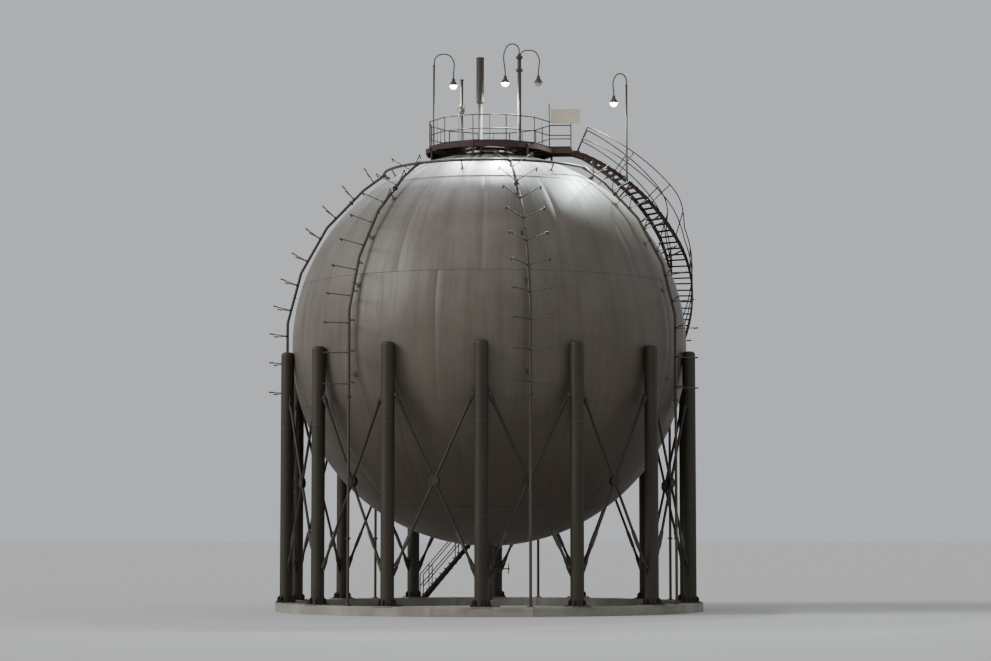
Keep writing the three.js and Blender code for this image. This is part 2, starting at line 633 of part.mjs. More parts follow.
function deckRailing() {
  const foot = DECK_TOP + SEAT_GAP;
  const inset = DECK_RADIUS - 150;
  const gateHalf = WALK_WIDTH / 2 + GATE_MARGIN;
  const gateAngle = degrees(Math.asin(gateHalf / inset));
  const mouth = DECK_REACH - 60;
  const corners = [vector(mouth, gateHalf, 0)];
  for (let i = 0; i <= DECK_PANELS; i += 1) {
    corners.push(polar(inset, gateAngle + ((360 - 2 * gateAngle) * i) / DECK_PANELS, 0));
  }
  corners.push(vector(mouth, -gateHalf, 0));
  const along = (height) => corners.map((corner) => corner.clone().setZ(foot + height));
  const posts = along(0).map((base) => bar(base, lifted(base, RAIL_HEIGHT), POST_RADIUS, POST_SIDES));
  const tall = along(0).at(-2);
  return fuse([
    ...posts,
    bar(tall, lifted(tall, TALL_POST), POST_RADIUS + 6, 4),
    sweep(along(RAIL_HEIGHT), RAIL_BAR, RAIL_BAR),
    sweep(along(RAIL_HEIGHT / 2), RAIL_BAR, RAIL_BAR),
    sweep(along(TOE_HEIGHT / 2), 12, TOE_HEIGHT),
  ]);
}

function manway() {
  const under = MANWAY_TOP - COVER_HEIGHT;
  return fuse([
    drum(AXIS, MANWAY_RADIUS, INSIDE_SHELL, under, BAYS),
    drum(AXIS, COVER_RADIUS, under, MANWAY_TOP, BAYS),
  ]).subtract(BALL);
}

function ventStack() {
  const centre = vector(VENT_X, 0, 0);
  const foot = MANWAY_TOP + SEAT_GAP;
  return fuse([
    drum(centre, VENT_SIZES.flange, foot, foot + 50, 8),
    drum(centre, VENT_SIZES.pipe, foot, VENT_DRUM_Z + 50, 8),
    drum(centre, VENT_SIZES.drum, VENT_DRUM_Z, VENT_TOP, 8),
  ]);
}

function valvePipe() {
  const centre = vector(VALVE_X, 0, 0);
  const foot = DECK_TOP + SEAT_GAP;
  const forward = (reach) => vector(VALVE_X, -reach, VALVE_Z);
  return fuse([
    drum(centre, VALVE_BODY, foot, foot + 40, 8),
    drum(centre, PIPE_RADIUS, foot, VALVE_PIPE_TOP, PIPE_SIDES),
    drum(centre, VALVE_BODY, VALVE_Z - 130, VALVE_Z + 130, 8),
    bar(forward(0), forward(WHEEL_REACH - 10), 30, 4),
    bar(forward(WHEEL_REACH - 30), forward(WHEEL_REACH), WHEEL_RADIUS, 8),
  ]);
}

// A hooked lamp arm: up out of its mast, over to one side and down to the shade
function lampArm(root, reach, rise, lampZ) {
  const at = (share, height) => vector(root.x + reach * share, root.y, height);
  const curve = [root, at(0.1, root.z + rise * 0.75), at(0.5, root.z + rise),
    at(0.92, root.z + rise * 0.7), at(1, lampZ + SHADE_HEIGHT + 10)];
  const [mouth, neck] = SHADE_RADII;
  const lamp = at(1, lampZ);
  return fuse([
    tube(curve, LAMP_TUBE, 5, 9),
    drum(lamp, mouth, lampZ - 60, lampZ - 60 + SHADE_HEIGHT, 8, neck),
    drum(lamp, neck, lampZ + SHADE_HEIGHT - 80, lampZ + SHADE_HEIGHT + 70, 6),
  ]);
}

function lampPost(centre, footZ, { top, reach, shade }) {
  const root = centre.clone().setZ(top - LAMP_RISE - 40);
  return fuse([
    drum(centre, LAMP_POLE, footZ, top - LAMP_RISE, PIPE_SIDES),
    lampArm(root, reach, LAMP_RISE, shade),
  ]);
}

function deckLamp() {
  const centre = vector(DECK_LAMP.x, 0, 0);
  const foot = DECK_TOP + SEAT_GAP;
  return lampPost(centre, foot, DECK_LAMP)
    .add(drum(centre, LAMP_FOOT.radius, foot, foot + LAMP_FOOT.height, 8));
}

// The stair lamp stands on a bracket that is bolted to the outside of the near stringer
function stairLamp() {
  const { point, heading, across } = STAIR_STEPS[STAIR_LAMP.step];
  const face = LAMP_INSET - (WALK_WIDTH + STRINGER_WIDTH) / 2;
  const aside = (distance) => lifted(moved(point, across, face - distance), -STRINGER_DROP);
  const plate = turnedBox([120, 20, 240], aside(10), heading, across, UP);
  const bracket = turnedBox([90, LAMP_BRACKET, 90], aside(LAMP_BRACKET / 2), heading, across, UP);
  return lampPost(aside(LAMP_BRACKET), aside(0).z - 120, STAIR_LAMP).add(plate).add(bracket);
}

// A blank panel hangs on the outside of the rail at the head of the stair
function railPanel() {
  const face = -(WALK_WIDTH / 2 + GATE_MARGIN + RAIL_BAR / 2) - SEAT_GAP;
  const centre = vector(PANEL_X, face - PANEL_SIZE[1] / 2, DECK_TOP + RAIL_HEIGHT + PANEL_LIFT);
  return turnedBox(PANEL_SIZE, centre, ...BOX_AXES);
}

function lampMast() {
  const centre = vector(MAST_X, 0, 0);
  const foot = DECK_TOP + SEAT_GAP;
  return fuse([
    drum(centre, MAST_FOOT.radius, foot, foot + MAST_FOOT.height, 8),
    drum(centre, MAST_RADIUS, foot, MAST_TOP, 8),
    ...MAST_FLANGES_Z.map((z) => drum(centre, MAST_FLANGE, z, z + MAST_FLANGE_HEIGHT, 8)),
    ...MAST_ARMS.map(({ drop, reach, rise }) => (
      lampArm(centre.clone().setZ(MAST_TOP - drop), reach, rise, MAST_SHADE))),
  ]);
}

function bottomOutlet() {
  const forward = (reach) => vector(0, -reach, BRANCH_Z);
  return fuse([
    drum(AXIS, OUTLET_PLINTH.radius, 0, OUTLET_PLINTH.top, 8),
    drum(AXIS, OUTLET_RADIUS, OUTLET_PLINTH.top - 20, EQUATOR_Z - SHELL_RADIUS + 60, 8),
    drum(AXIS, OUTLET_VALVE.radius, OUTLET_VALVE.low, OUTLET_VALVE.high, 8),
    drum(AXIS, OUTLET_FLANGE.radius, OUTLET_FLANGE.low, OUTLET_FLANGE.high, 8),
    bar(forward(0), forward(BRANCH_REACH - 50), BRANCH_RADIUS, 8),
    bar(forward(BRANCH_REACH - 50), forward(BRANCH_REACH), BRANCH_FLANGE, 8),
  ]).subtract(BALL);
}

// Assembly
const tank = new THREE.Group();

function addPiece(name, solid, coat) {
  const mesh = new THREE.Mesh(toGeometry(solid), new THREE.MeshStandardMaterial(coat));
  mesh.name = name;
  tank.add(mesh);
}

const twoDigits = (i) => String(i + 1).padStart(2, '0');
ZONES.forEach((zone, i) => addPiece(`shell_${zone}`, shellZone(i), SHELL_PAINT));
addPiece('foundation_ring', foundationRing(), CONCRETE);
for (let i = 0; i < BAYS; i += 1) {
  addPiece(`column_${twoDigits(i)}`, column(i), COLUMN_PAINT);
  addPiece(`brace_${twoDigits(i)}`, brace(i), BRACE_PAINT);
}
for (let i = 0; i < RISERS; i += 1) addPiece(`drench_riser_${i + 1}`, riser(i), PIPE_PAINT);
addPiece('drench_header', header(), PIPE_PAINT);
addPiece('top_deck', deck(), STAIR_PAINT);
addPiece('deck_railing', deckRailing(), STAIR_PAINT);
addPiece('crown_manway', manway(), PIPE_PAINT);
addPiece('vent_stack', ventStack(), PIPE_PAINT);
addPiece('valve_pipe', valvePipe(), PIPE_PAINT);
addPiece('rail_panel', railPanel(), PANEL_PAINT);
addPiece('deck_lamp', deckLamp(), LAMP_PAINT);
addPiece('stair_lamp', stairLamp(), LAMP_PAINT);
addPiece('lamp_mast', lampMast(), LAMP_PAINT);
addPiece('upper_stair', upperStair(), STAIR_PAINT);
for (let i = 0; i < FLIGHTS; i += 1) {
  addPiece(`landing_${i + 1}`, landing(i), STAIR_PAINT);
  addPiece(`lower_flight_${i + 1}`, lowerFlight(i), STAIR_PAINT);
}
addPiece('bottom_outlet', bottomOutlet(), PIPE_PAINT);

export default tank;
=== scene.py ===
# Spherical gas tank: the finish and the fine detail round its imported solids.
# Metres, +Z up, with the origin on the tank's axis at ground level.
from itertools import product
from math import asin, atan2, cos, degrees, hypot, pi, radians, sin, sqrt, tan, tau

import bmesh
import bpy
from mathutils import Matrix, Vector


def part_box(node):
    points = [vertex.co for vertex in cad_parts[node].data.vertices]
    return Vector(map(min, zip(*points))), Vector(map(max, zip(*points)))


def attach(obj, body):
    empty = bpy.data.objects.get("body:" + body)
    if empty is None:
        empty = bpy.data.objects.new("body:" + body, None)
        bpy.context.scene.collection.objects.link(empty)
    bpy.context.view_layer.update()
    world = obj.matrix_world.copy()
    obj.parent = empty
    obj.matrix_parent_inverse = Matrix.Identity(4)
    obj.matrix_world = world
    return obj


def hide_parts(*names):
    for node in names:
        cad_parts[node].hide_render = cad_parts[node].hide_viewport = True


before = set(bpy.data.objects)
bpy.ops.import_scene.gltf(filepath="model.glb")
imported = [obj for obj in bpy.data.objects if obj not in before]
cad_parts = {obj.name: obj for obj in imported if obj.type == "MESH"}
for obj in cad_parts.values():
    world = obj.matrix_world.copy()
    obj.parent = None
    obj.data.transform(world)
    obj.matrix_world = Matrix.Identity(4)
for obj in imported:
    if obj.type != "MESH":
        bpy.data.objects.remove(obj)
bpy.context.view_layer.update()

# Viewpoint
# The photograph was taken standing on the ground, a hundred metres off and nearly square to the
# front column. The camera stands there too, with a longer lens so that the tank fills the frame.
VIEW_DISTANCE = 104.0
VIEW_HEIGHT = 2.92
VIEW_AZIMUTH = radians(2.1)
VIEW_AIM = Vector((0.25, 0, 11.35))
VIEW_LENS = 93
FLOOR_RADIUS = 1500

viewpoint = Vector((
    VIEW_DISTANCE * sin(VIEW_AZIMUTH), -VIEW_DISTANCE * cos(VIEW_AZIMUTH), VIEW_HEIGHT))
view_turn = (VIEW_AIM - viewpoint).to_track_quat("-Z", "Y").to_euler()
bpy.ops.object.camera_add(location=viewpoint, rotation=view_turn)
camera = bpy.context.object
camera.data.lens = VIEW_LENS
camera.data.clip_end = 2 * FLOOR_RADIUS
bpy.context.scene.camera = camera

# Studio
# A wide pale floor at the level that the footing stands on, an even pale sky, and one large soft
# light from the left, a little in front of the tank.
FLOOR_HEIGHT = -0.004
SKY_COLOUR = (0.86, 0.89, 0.94, 1)
SKY_STRENGTH = 0.62
SUN_STRENGTH = 1.8
SUN_SOFTNESS = radians(24)
SUN_FROM = Vector((-0.8, -0.3, 0.52))


def linear(hex_colour):
    """A paint chip's screen colour as the linear colour that a shader takes."""
    channels = [(hex_colour >> shift & 255) / 255 for shift in (16, 8, 0)]
    return (*[c / 12.92 if c <= 0.04045 else ((c + 0.055) / 1.055) ** 2.4 for c in channels], 1)


def new_finish(name):
    """A new material, with its node tree and its shader."""
    material = bpy.data.materials.new(name)
    material.use_nodes = True
    return material, material.node_tree, material.node_tree.nodes["Principled BSDF"]


def feed(tree, node, inputs):
    """Feeds a node's inputs from values or from other sockets."""
    for name, value in inputs.items():
        if isinstance(value, bpy.types.NodeSocket):
            tree.links.new(value, node.inputs[name])
        else:
            node.inputs[name].default_value = value


bpy.ops.mesh.primitive_circle_add(
    vertices=128, radius=FLOOR_RADIUS, fill_type="NGON", location=(0, 0, FLOOR_HEIGHT))
floor = bpy.context.object
floor.name = "studio_floor"
floor_finish, floor_tree, floor_shader = new_finish("studio_floor")
feed(floor_tree, floor_shader, {"Base Color": linear(0xC9C8C5), "Roughness": 0.9})
floor.data.materials.append(floor_finish)
bpy.ops.object.light_add(type="SUN", rotation=SUN_FROM.to_track_quat("Z", "Y").to_euler())
bpy.context.object.data.energy = SUN_STRENGTH
bpy.context.object.data.angle = SUN_SOFTNESS
sky = bpy.data.worlds.new("studio_sky")
sky.use_nodes = True
feed(sky.node_tree, sky.node_tree.nodes["Background"], {"Color": SKY_COLOUR, "Strength": SKY_STRENGTH})
bpy.context.scene.world = sky

# Weathered paint
# Every steel part was painted years ago and has stood in the open since: chalky patches, dirt that
# rain has drawn down the sides, specks of rust that bleed, and a fine orange-peel grain.
PATCH_SCALE = 0.45
RUN_SCALE = 2.4
SPECK_SCALE = 3.2
GRAIN_SCALE = 46


def add_node(tree, kind, inputs=None, **settings):
    """Adds a node with its properties and inputs, and gives its outputs."""
    node = tree.nodes.new(kind)
    for name, value in settings.items():
        setattr(node, name, value)
    feed(tree, node, inputs or {})
    return node.outputs


def add_ramp(tree, value, low, high):
    """Runs from 0 where the value is low to 1 where it is high."""
    return add_node(tree, "ShaderNodeMapRange", {
        "Value": value, "From Min": low, "From Max": high})["Result"]


def add_noise(tree, place, scale, detail, roughness=0.55, low=0.0, high=1.0):
    """Noise at a place, stretched so that it runs from 0 at the low value to 1 at the high one."""
    noise = add_node(tree, "ShaderNodeTexNoise", {
        "Vector": place, "Scale": scale, "Detail": detail, "Roughness": roughness})
    return add_ramp(tree, noise["Fac"], low, high)


def add_math(tree, operation, first, second):
    return add_node(tree, "ShaderNodeMath", {0: first, 1: second}, operation=operation)[0]


def times(tree, first, second):
    return add_math(tree, "MULTIPLY", first, second)


def plus(tree, first, second):
    return add_math(tree, "ADD", first, second)


def add_mix(tree, share, first, second):
    return add_node(tree, "ShaderNodeMixRGB", {"Fac": share, "Color1": first, "Color2": second})["Color"]


def object_place(tree):
    return add_node(tree, "ShaderNodeTexCoord")["Object"]


def make_weathering():
    group = bpy.data.node_groups.new("weathering", "ShaderNodeTree")
    for way, kind, names in (
            ("INPUT", "Vector", "Place Run"), ("INPUT", "Color", "Paint Dirt Rust"),
            ("INPUT", "Float", "Patches Runs Rusting Sheen"),
            ("OUTPUT", "Color", "Color"), ("OUTPUT", "Float", "Roughness Height")):
        for name in names.split():
            group.interface.new_socket(name, in_out=way, socket_type="NodeSocket" + kind)
    given = add_node(group, "NodeGroupInput")
    patches = add_noise(group, given["Place"], PATCH_SCALE, 5, low=0.38, high=0.66)
    runs = add_noise(group, given["Run"], RUN_SCALE, 6, 0.62, low=0.47, high=0.74)
    fine_runs = add_noise(group, given["Run"], RUN_SCALE * 4, 4, 0.6, low=0.45, high=0.8)
    specks = add_noise(group, given["Place"], SPECK_SCALE, 9, 0.68, low=0.6, high=0.66)
    bleed = add_noise(group, given["Run"], RUN_SCALE * 0.7, 8, 0.7, low=0.6, high=0.78)
    grain = add_noise(group, given["Place"], GRAIN_SCALE, 3)
    chalk = times(group, patches, given["Patches"])
    dirt = times(group, plus(group, runs, times(group, fine_runs, 0.3)), given["Runs"])
    rust = times(group, plus(group, specks, bleed), given["Rusting"])
    shade = add_mix(group, chalk, given["Paint"], given["Dirt"])
    shade = add_mix(group, dirt, shade, given["Dirt"])
    shade = add_mix(group, rust, shade, given["Rust"])
    roughness = plus(group, given["Sheen"], times(group, plus(group, rust, dirt), 0.22))
    height = plus(group, times(group, grain, 0.35), rust)
    add_node(group, "NodeGroupOutput", {"Color": shade, "Roughness": roughness, "Height": height})
    return group


WEATHERING = make_weathering()
RUST = linear(0x5E3420)


def painted(name, paint, dirt, patches, runs, rusting, sheen, metal=0.0, run_of=None, light_and_shade_of=None):
    """A weathered paint. Its dirt runs straight down unless run_of says which way it runs, and a function
    given last may paint light and shade over the piece."""
    material, tree, shader = new_finish(name)
    place = object_place(tree)
    run = run_of(tree, place) if run_of else add_node(
        tree, "ShaderNodeMapping", {"Vector": place, "Scale": (1, 1, 0.05)})["Vector"]
    shade = light_and_shade_of(tree, place, linear(paint)) if light_and_shade_of else linear(paint)
    weather = add_node(tree, "ShaderNodeGroup", {
        "Place": place, "Run": run, "Paint": shade, "Dirt": linear(dirt), "Rust": RUST, "Patches": patches,
        "Runs": runs, "Rusting": rusting, "Sheen": sheen}, node_tree=WEATHERING)
    bump = add_node(tree, "ShaderNodeBump", {"Height": weather["Height"], "Strength": 0.35, "Distance": 0.01})
    feed(tree, shader, {
        "Base Color": weather["Color"], "Roughness": weather["Roughness"], "Metallic": metal,
        "Normal": bump["Normal"]})
    return material


# Shell
# Forty-millimetre plate, pressed to the curve and butt-welded: three bands of fourteen petals with
# a crown and a bottom of three plates each. The weld caps stand a little proud of the plate.
PETALS = 14
PETAL_ANGLE = tau / PETALS
SHELL_SEGMENTS = 140
SHELL_RINGS = 100
SHELL_PLATE = 0.04
WELD_WIDTH = 0.036
WELD_HEIGHT = 0.007
CAP_SEAM = 1.35
CAP_TOLERANCE = 0.0005
PETAL_TOLERANCE = 0.002
ZONES = ["bottom_cap", "lower_zone", "equator_belt", "upper_zone", "top_cap"]
ZONE_SPAN = 180 / len(ZONES)
belt_low, belt_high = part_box("shell_equator_belt")
SHELL_RADIUS = belt_high.x
EQUATOR = (belt_low.z + belt_high.z) / 2
CENTRE = Vector((0, 0, EQUATOR))
# Painted shade: the dark brown-grey that the paint is darkened to towards the bottom of the shell and on its
# side away from the sun.
PAINTED_SHADE = linear(0x45382A)
# Painted lamp light: the pale, cool white that the crown is painted where the platform's lamps light it.
PAINTED_LAMPLIGHT = linear(0xBCC0BE)
# Painted shadow of the platform: the dark brown laid in downward streaks over the crown under the platform.
PAINTED_DECK_SHADOW = linear(0x4A3628)
# The share of painted shade on the side of the shell away from the sun.
SIDE_SHADE_SHARE = 0.5
SMOOTH_ANGLE = 38


def run_down_shell(tree, place):
    """Rain runs down the meridians, so the place is turned about the axis and squeezed in height."""
    parts = add_node(tree, "ShaderNodeSeparateXYZ", {"Vector": place})
    flat = add_node(tree, "ShaderNodeCombineXYZ", {"X": parts["X"], "Y": parts["Y"]})["Vector"]
    around = add_node(tree, "ShaderNodeVectorMath", {0: flat}, operation="NORMALIZE")["Vector"]
    girth = add_node(tree, "ShaderNodeVectorMath", {0: around, "Scale": 7.0}, operation="SCALE")
    drop = add_node(tree, "ShaderNodeCombineXYZ", {"Z": times(tree, parts["Z"], 0.07)})
    return add_node(tree, "ShaderNodeVectorMath", {
        0: girth["Vector"], 1: drop["Vector"]}, operation="ADD")["Vector"]


def painted_light_and_shade(tree, place, paint):
    """Paints light and shade over the shell: a pale crown of painted lamp light, the platform's painted
    shadow in streaks that run down the crown, and painted shade that darkens the paint towards the bottom,
    more on the side away from the sun."""
    parts = add_node(tree, "ShaderNodeSeparateXYZ", {"Vector": place})
    # Painted lamp light: the crown is painted pale from 0.93 of the radius up, fading into the paint by 0.6.
    shoulder = add_ramp(tree, parts["Z"], EQUATOR + 0.93 * SHELL_RADIUS, EQUATOR + 0.6 * SHELL_RADIUS)
    # Painted shade of the underside: darkens the paint steadily from 0.7 of the radius up down to the bottom.
    depth = add_ramp(tree, parts["Z"], EQUATOR + 0.7 * SHELL_RADIUS, EQUATOR - SHELL_RADIUS)
    # Painted shade on the +X side, away from the sun, growing towards that side.
    shaded_side = times(tree, add_ramp(tree, parts["X"], -0.1 * SHELL_RADIUS, SHELL_RADIUS), SIDE_SHADE_SHARE)
    # Painted shadow of the platform: streaks over the crown from 0.8 of the radius up, full by 0.95.
    deck_shadow = add_ramp(tree, parts["Z"], EQUATOR + 0.8 * SHELL_RADIUS, EQUATOR + 0.95 * SHELL_RADIUS)
    streaks = add_noise(tree, run_down_shell(tree, place), 3.5, 5, low=0.36, high=0.62)
    shade = add_mix(tree, shoulder, PAINTED_LAMPLIGHT, paint)
    shade = add_mix(tree, times(tree, shaded_side, shoulder), shade, PAINTED_SHADE)
    shade = add_mix(tree, depth, shade, PAINTED_SHADE)
    return add_mix(tree, times(tree, deck_shadow, streaks), shade, PAINTED_DECK_SHADOW)


# The plate and weld finishes both carry painted light and shade: a pale lamp-lit crown, the platform's
# shadow, and shade low down and on the side away from the sun.
shell_paint = painted(
    "shell_paint", 0x7D766C, 0x423627, 0.34, 0.34, 0.16, 0.48, 0.1, run_down_shell, painted_light_and_shade)
weld_paint = painted(
    "weld_paint", 0x797269, 0x453A2F, 0.4, 0.34, 0.25, 0.55, 0.1, run_down_shell, painted_light_and_shade)


def choose(kind, test):
    """In edit mode, selects the vertices, edges or faces that pass a test, and nothing else."""
    bpy.ops.mesh.select_mode(type={"verts": "VERT", "edges": "EDGE", "faces": "FACE"}[kind])
    bpy.ops.mesh.select_all(action="DESELECT")
    mesh = bpy.context.edit_object.data
    shape = bmesh.from_edit_mesh(mesh)
    for element in [element for element in getattr(shape, kind) if test(element)]:
        element.select_set(True)
    shape.select_flush_mode()
    bmesh.update_edit_mesh(mesh)


def edit():
    bpy.ops.object.mode_set(mode="EDIT")


def leave_edit():
    bpy.ops.object.mode_set(mode="OBJECT")


def apply_modifier(kind, **settings):
    """Adds a modifier to the active piece and applies it."""
    bpy.ops.object.modifier_add(type=kind)
    modifier = bpy.context.object.modifiers[-1]
    for name, value in settings.items():
        setattr(modifier, name, value)
    bpy.ops.object.modifier_apply(modifier=modifier.name)


def only(piece):
    """Makes a piece the one that is selected and active."""
    bpy.ops.object.select_all(action="DESELECT")
    piece.select_set(True)
    bpy.context.view_layer.objects.active = piece


def settle():
    """Puts the place, turn and size of what is selected into its mesh."""
    bpy.ops.object.transform_apply(location=True, rotation=True, scale=True)


def joined(parts):
    """Joins parts into the first one's object, each with its own finish."""
    first, *others = parts
    only(first)
    for part in others:
        part.select_set(True)
    if others:
        bpy.ops.object.join()
    return first


def coated(part, material):
    part.data.materials.clear()
    part.data.materials.append(material)
    return part


def hoop(radius, thickness, steps, sides, **place):
    """A ring of round section."""
    bpy.ops.mesh.primitive_torus_add(
        major_radius=radius, minor_radius=thickness, major_segments=steps, minor_segments=sides, **place)
    return bpy.context.object


def finish_piece(parts, node, form=None, name=None, smooth=SMOOTH_ANGLE):
    """Joins a piece, names it for its node and form, and lets it stand for that node."""
    piece = joined(parts)
    settle()
    bpy.ops.object.shade_smooth_by_angle(angle=radians(smooth))
    piece.name = piece.data.name = name or f"{node}_{form}"
    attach(piece, "root")
    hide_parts(node)


def latitude(place):
    return degrees(atan2(place.z - EQUATOR, hypot(place.x, place.y)))


def on_seam(place, turn):
    """Whether a place lies on one of the upright seams between a band's petals."""
    petals_round = (atan2(place.y, place.x) - turn) / PETAL_ANGLE
    return abs(petals_round - round(petals_round)) < PETAL_TOLERANCE


def wholly(test):
    """The test of an edge that asks a test of both its ends."""
    return lambda edge: all(test(vertex.co) for vertex in edge.verts)


def raise_welds(on_weld):
    """Swells the edges on a seam into a flat bead with its own finish."""
    choose("edges", wholly(on_weld))
    bpy.ops.mesh.bevel(offset=WELD_WIDTH / 2, segments=2, affect="EDGES")
    choose("faces", lambda face: any(on_weld(vertex.co) for vertex in face.verts))
    bpy.context.object.active_material_index = 1
    bpy.ops.object.material_slot_assign()
    choose("verts", lambda vertex: on_weld(vertex.co))
    bpy.ops.transform.shrink_fatten(value=-WELD_HEIGHT)


for index, zone in enumerate(ZONES):
    south = -90 + ZONE_SPAN * index
    north = south + ZONE_SPAN
    is_cap = index in (0, len(ZONES) - 1)
    bpy.ops.mesh.primitive_uv_sphere_add(
        segments=SHELL_SEGMENTS, ring_count=SHELL_RINGS, radius=SHELL_RADIUS, location=CENTRE)
    plates = coated(bpy.context.object, shell_paint)
    settle()
    plates.data.materials.append(weld_paint)
    edit()
    choose("faces", lambda face: not south < latitude(face.calc_center_median()) < north)
    bpy.ops.mesh.delete(type="FACE")
    if is_cap:
        for side in (-CAP_SEAM, CAP_SEAM):
            bpy.ops.mesh.select_all(action="SELECT")
            bpy.ops.mesh.bisect(plane_co=(0, side, 0), plane_no=(0, 1, 0))
        raise_welds(lambda place: abs(abs(place.y) - CAP_SEAM) < CAP_TOLERANCE)
    else:
        turn = 0 if index % 2 == 0 else PETAL_ANGLE / 2
        raise_welds(lambda place: on_seam(place, turn))
    leave_edit()
    apply_modifier("SOLIDIFY", thickness=SHELL_PLATE, offset=-1, use_even_offset=True)
    zone_parts = [plates]
    if not is_cap or index == 0:
        rim = radians(north)
        zone_parts.append(coated(hoop(
            SHELL_RADIUS * cos(rim), WELD_WIDTH / 3, SHELL_SEGMENTS, 6,
            location=(0, 0, EQUATOR + SHELL_RADIUS * sin(rim))), weld_paint))
    finish_piece(zone_parts, f"shell_{zone}", "plates")

# Footing
# A ring of reinforced concrete cast in fourteen bays, its arrises chamfered and a joint at the
# middle of each bay. The columns stand on it, each on a bed of grout.
RING_CHAMFER = 0.03
JOINT_WIDTH = 0.02
JOINT_DEPTH = 0.012
ring_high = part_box("foundation_ring")[1]
RING_INNER = 7.85
RING_OUTER = ring_high.x
RING_TOP = ring_high.z


def make_concrete():
    """Board-marked concrete: broad stains, dark tide marks, air holes and a sandy grain."""
    material, tree, shader = new_finish("concrete")
    place = object_place(tree)
    stains = add_noise(tree, place, 0.8, 7, 0.6, low=0.35, high=0.7)
    sand = add_noise(tree, place, 55, 4)
    holes = add_noise(tree, place, 42, 1, low=0.72, high=0.78)
    shade = add_mix(tree, stains, linear(0x9C978C), linear(0x6E6A60))
    shade = add_mix(tree, times(tree, sand, 0.35), shade, linear(0xA8A499))
    shade = add_mix(tree, holes, shade, linear(0x57534B))
    height = add_math(tree, "SUBTRACT", sand, holes)
    bump = add_node(tree, "ShaderNodeBump", {"Height": height, "Strength": 0.5, "Distance": 0.012})
    feed(tree, shader, {"Base Color": shade, "Roughness": 0.93, "Normal": bump["Normal"]})
    return material


concrete = make_concrete()


def drawn_curve(points, closed=False, smooth=False):
    """A line through the points, of straight runs or one smooth one."""
    bpy.ops.curve.primitive_bezier_curve_add(location=(0, 0, 0))
    piece = bpy.context.object
    piece.data.splines.clear()
    spline = piece.data.splines.new("BEZIER" if smooth else "POLY")
    knots = spline.bezier_points if smooth else spline.points
    knots.add(len(points) - 1)
    for knot, place in zip(knots, points):
        knot.co = place if smooth else (*place, 1)
        if smooth:
            knot.handle_left_type = knot.handle_right_type = "AUTO"
    spline.use_cyclic_u = closed
    return piece


def as_mesh(piece):
    only(piece)
    bpy.ops.object.convert(target="MESH")
    return bpy.context.object


def edit_all():
    edit()
    bpy.ops.mesh.select_all(action="SELECT")


def turn_outwards():
    """Turns every face outwards and leaves edit mode."""
    bpy.ops.mesh.select_all(action="SELECT")
    bpy.ops.mesh.normals_make_consistent(inside=False)
    leave_edit()


def closed_up(piece):
    """Welds a piece's doubled corners and turns its faces outwards."""
    only(piece)
    edit_all()
    bpy.ops.mesh.remove_doubles(threshold=0.0002)
    turn_outwards()
    return piece


def turned_piece(profile, steps, closed=False):
    """Spins a profile of (radius, height) pairs about the upright axis through the origin."""
    piece = as_mesh(drawn_curve([(radius, 0, height) for radius, height in profile], closed))
    edit_all()
    bpy.ops.mesh.spin(steps=steps, angle=tau, center=(0, 0, 0), axis=(0, 0, 1))
    leave_edit()
    return closed_up(piece)


ring = coated(turned_piece([
    (RING_INNER, 0), (RING_OUTER, 0), (RING_OUTER, RING_TOP - RING_CHAMFER),
    (RING_OUTER - RING_CHAMFER, RING_TOP), (RING_INNER + RING_CHAMFER, RING_TOP),
    (RING_INNER, RING_TOP - RING_CHAMFER)], SHELL_SEGMENTS, closed=True), concrete)
edit()
choose("edges", lambda edge: wholly(lambda place: on_seam(place, 0))(edge) and any(
    vertex.co.z > 0.01 for vertex in edge.verts))
bpy.ops.mesh.bevel(offset=JOINT_WIDTH / 2, segments=2, affect="EDGES")
choose("verts", lambda vertex: on_seam(vertex.co, 0) and vertex.co.z > 0.01)
bpy.ops.transform.shrink_fatten(value=JOINT_DEPTH)
leave_edit()
finish_piece([ring], "foundation_ring", name="footing_ring", smooth=30)

# Columns
# Steel pipe with a domed head, welded to the shell just under its equator. Each stands on a base
# plate with eight gussets and eight anchor bolts, and carries four lugs for the ties.
COLUMN_CIRCLE = 8.23
COLUMN_RADIUS = 0.262
COLUMN_TOP = EQUATOR - 0.26
COLUMN_DOME = 0.14
COLUMN_WELDS = (3.75, 7.3)
BASE_PLATE = 0.72
BASE_THICKNESS = 0.045
BASE_TOP = RING_TOP + BASE_THICKNESS
GROUT_PLATE = BASE_PLATE + 0.1
GUSSETS = 8
GUSSET = (0.11, 0.018, 0.24)
ANCHOR_CIRCLE = 0.415
TIE_HIGH = EQUATOR - 1.6
TIE_LOW = 1.15
TIE_RUN = 2 * COLUMN_CIRCLE * sin(PETAL_ANGLE / 2)
LUG_LENGTH = 0.66
LUG_REACH = 0.86
LUG_WIDTH = 0.22
LUG_THICKNESS = 0.032
PIN_BACK = 0.11
RIGHT, BACK, UP = Vector((1, 0, 0)), Vector((0, 1, 0)), Vector((0, 0, 1))

column_paint = painted("column_paint", 0x352F20, 0x1E1A11, 0.35, 0.45, 0.5, 0.55, 0.1)
bolt_steel = painted("bolt_steel", 0x55524C, 0x37322C, 0.3, 0.2, 0.9, 0.45, 0.6)


def polar(radius, azimuth, height=0.0):
    return Vector((radius * cos(azimuth), radius * sin(azimuth), height))


def column_azimuth(index):
    return -pi / 2 + PETAL_ANGLE * index


def rod(start, end, radius, sides=16, end_radius=None):
    """A round bar between two points, which may taper to another radius at its end."""
    start, end = Vector(start), Vector(end)
    bpy.ops.mesh.primitive_cone_add(
        vertices=sides, radius1=radius, radius2=end_radius or radius, depth=(end - start).length,
        location=(start + end) / 2, rotation=(end - start).to_track_quat("Z", "Y").to_euler())
    return bpy.context.object


